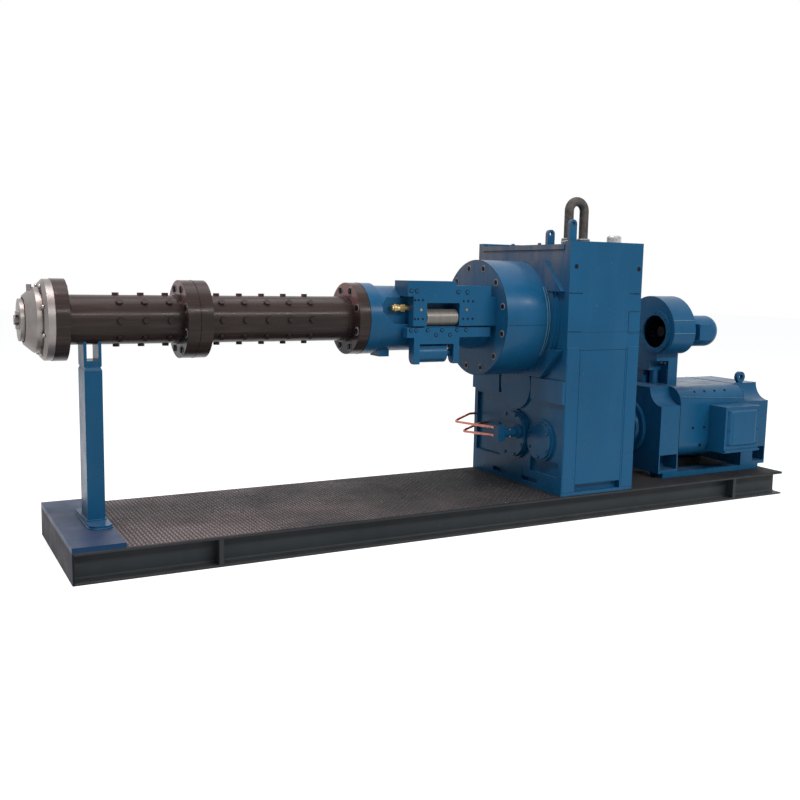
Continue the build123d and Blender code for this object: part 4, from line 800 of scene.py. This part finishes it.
# The oil pump on the drive cap sends oil round the case through two bent copper pipes. Four hexagon bolts hold the pump
# block.
copper = steel_finish("copper", printed(196, 118, 96), printed(140, 78, 62), 0.28, 0.85)
dress(machine_blue, "machine_blue", "oil_pump")
dress(copper, "copper_pipe", "oil_pipe_upper", "oil_pipe_lower")
pipe_box = {name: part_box(name) for name in ("oil_pipe_upper", "oil_pipe_lower")}
pump_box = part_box("oil_pump")
nut_seats = [(pump_box[0].x, -0.082, 0.516), (pump_box[0].x, -0.082, 0.466)]
pump_seats = [(0.331, -0.082 + 0.031 * math.cos(t), 0.491 + 0.031 * math.sin(t)) for t in (0.8, 2.35, 3.9, 5.5)]
seat_bolts("pump_bolts", hexagon_bolts, pump_seats, [(-1, 0, 0)] * 4, (0.011, 0.006), (0.014, 0.001),
           (bolt_steel, bolt_steel, black_steel_and_shade))

# The breather is a bright pressed cap with slots round it, and the return bend is a
# black pipe that stands on the lid in two bright ferrules.
cap_metal = steel_finish("cap_metal", printed(196, 198, 196), printed(120, 122, 120), 0.30, 0.6)
dress(cap_metal, "bare_steel", "breather")
bend_black = steel_finish("bend_black", printed(94, 91, 88), printed(62, 60, 58), 0.50, 0.1)
dress(bend_black, "black_hose", "return_bend")
for ferrule_name, ferrule_x in (("ferrule_front", 0.684), ("ferrule_rear", 0.800)):
    ferrule_mesh = [(0.0, 0.030), (0.0, 0.0425), (0.006, 0.0435), (0.012, 0.0425), (0.016, 0.0405), (0.020, 0.0425),
                    (0.026, 0.0435), (0.032, 0.0425), (0.036, 0.0405), (0.040, 0.0425), (0.047, 0.0425), (0.050, 0.030)]
    points = []
    faces = []
    for k in range(40):
        turn = 2 * math.pi * k / 40
        for rise, radius in ferrule_mesh:
            points.append((ferrule_x + radius * math.cos(turn), -0.150 + radius * math.sin(turn), 1.647 + rise))
    count = len(ferrule_mesh)
    for k in range(40):
        for p in range(count):
            q = (p + 1) % count
            faces.append((k * count + p, ((k + 1) % 40) * count + p, ((k + 1) % 40) * count + q, k * count + q))
    mesh = bpy.data.meshes.new(ferrule_name)
    mesh.from_pydata(points, [], faces)
    mesh.materials.append(cap_metal)
    ferrule = bpy.data.objects.new(ferrule_name, mesh)
    scene.collection.objects.link(ferrule)
    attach(ferrule, "frame")

# The coupling joins the gearbox to the motor: two blue steel hubs, face to face, with
# a ring of bolts.
dress(machine_blue, "machine_blue", "coupling")
coupling_seats = [(1.055, 0.086 * math.cos(math.radians(a)), 0.465 + 0.086 * math.sin(math.radians(a)))
                  for a in range(0, 360, 60)]
seat_bolts("coupling_bolts", hexagon_bolts, coupling_seats, [(-1, 0, 0)] * 6, (0.022, 0.010), (0.028, 0.002),
           (bolt_steel, bolt_steel, black_steel_and_shade))

# The bearing cap of the drive motor is a stepped cast ring round the shaft, bolted to
# the front shield and painted with it.
lathe_ring("motor_bearing_cap", [(1.3652, 0.113), (1.3652, 0.190), (1.350, 0.190), (1.344, 0.184), (1.344, 0.146),
                                 (1.326, 0.136), (1.326, 0.113)], machine_blue, 64, (0, 0.465))

# The drive motor is a square blue frame between cast end shields, on sole plates. Its
# terminal box has a door held by corner screws.
dress(machine_blue, "machine_blue", "motor", "terminal_box", "motor_eye", "front_sole", "rear_sole")
shoulder_seats = [(1.680, -0.2928, 0.7148), (1.772, -0.2928, 0.7148), (1.864, -0.2928, 0.7148), (1.958, -0.2928, 0.7148)]
seat_bolts("motor_shoulder_screws", socket_bolts, shoulder_seats, [(0, -0.707, 0.707)] * 4, (0.016, 0.003),
           (0.021, 0.001), (black_steel_and_shade, machine_blue, black_steel_and_shade))
seat_on_front("motor_side_screws", [(1.654, 0.476), (1.755, 0.476), (1.728, 0.356)], -0.325, (0.014, 0.004),
              (0.019, 0.001), (black_steel_and_shade, black_steel_and_shade, black_steel_and_shade))
motor_outline = [(-0.3253, 0.28), (-0.3253, 0.637)]
for k in range(1, 9):
    turn = math.pi - k * math.pi / 16
    motor_outline.append((-0.215 + 0.1103 * math.cos(turn), 0.637 + 0.1103 * math.sin(turn)))
motor_outline += [(0.0, 0.7473), (0.215, 0.7473)]
for k in range(1, 9):
    turn = math.pi / 2 - k * math.pi / 16
    motor_outline.append((0.215 + 0.1103 * math.cos(turn), 0.637 + 0.1103 * math.sin(turn)))
motor_outline.append((0.3253, 0.28))
motor_points = []
motor_edges = []
for seam_x in (1.532, 2.120):
    count = len(motor_points)
    motor_points += [(seam_x, y, z) for y, z in motor_outline]
    motor_edges += [(count + k, count + k + 1) for k in range(len(motor_outline) - 1)]
# A pale line along the upper front edge of the motor frame is a painted highlight.
apply_tree("motor_edge_highlight", [(1.534, -0.3255, 0.690), (2.118, -0.3255, 0.657)], [(0, 1)], None, beads,
           {"Width": 0.003, "Ripple": 0.2, "Step": 0.02, "Finish": painted_highlight_blue}, "frame")
plate_on_front("door_panel", (1.842, 2.068), (0.372, 0.582), -0.4848, 0.004, machine_blue, 0.016)
apply_tree("motor_joint_lines", motor_points, motor_edges, None, beads,
           {"Width": 0.0028, "Ripple": 0.0, "Step": 0.03, "Finish": black_steel_and_shade}, "frame")
door_screws = [(x, z) for x in (1.826, 2.082) for z in (0.376, 0.470, 0.596)]
seat_on_front("door_screws", door_screws, -0.4845, (0.009, 0.002), (0.012, 0.0008),
              (machine_blue, black_steel_and_shade, black_steel_and_shade))

# The blower is a sheet steel scroll on its outlet neck, with a flanged fan motor. Straps close the seams of its casing
# and are painted pale as painted highlights, and bolts hold the neck's flanges.
dress(machine_blue, "machine_blue", "blower_scroll", "blower_duct", "fan_motor")
# The fan wheel is painted black, a painted shade inside the blower's inlet.
dress(black_steel_and_shade, "barrel_black", "fan_wheel")
neck_seats = [(1.627, -0.028, 0.889), (1.627, -0.060, 0.889)]
seat_bolts("neck_bolts", hexagon_bolts, neck_seats, [(-1, 0, 0)] * 2, (0.014, 0.006), (0.018, 0.001),
           (bolt_steel, bolt_steel, black_steel_and_shade))
# The two straps are painted pale, painted highlights along the scroll.
strap_points = []
strap_edges = []
for strap_turn in (160, 181):
    turn = math.radians(strap_turn)
    strap_edges.append((len(strap_points), len(strap_points) + 1))
    strap_points += [(x, -0.007 + 0.2372 * math.cos(turn), 1.105 + 0.2372 * math.sin(turn)) for x in (1.520, 1.702)]
apply_tree("scroll_highlight_straps", strap_points, strap_edges, None, beads,
           {"Width": 0.005, "Ripple": 0.0, "Step": 0.02, "Finish": painted_highlight_blue}, "frame")
inlet_seats = [(1.512, -0.062 + 0.128 * math.cos(math.radians(a)), 1.105 + 0.128 * math.sin(math.radians(a)))
               for a in range(0, 360, 45)]
seat_bolts("inlet_screws", hexagon_bolts, inlet_seats, [(-1, 0, 0)] * 8, (0.010, 0.004), (0.014, 0.001),
           (machine_blue, machine_blue, black_steel_and_shade))

scene.view_settings.view_transform = "Standard"
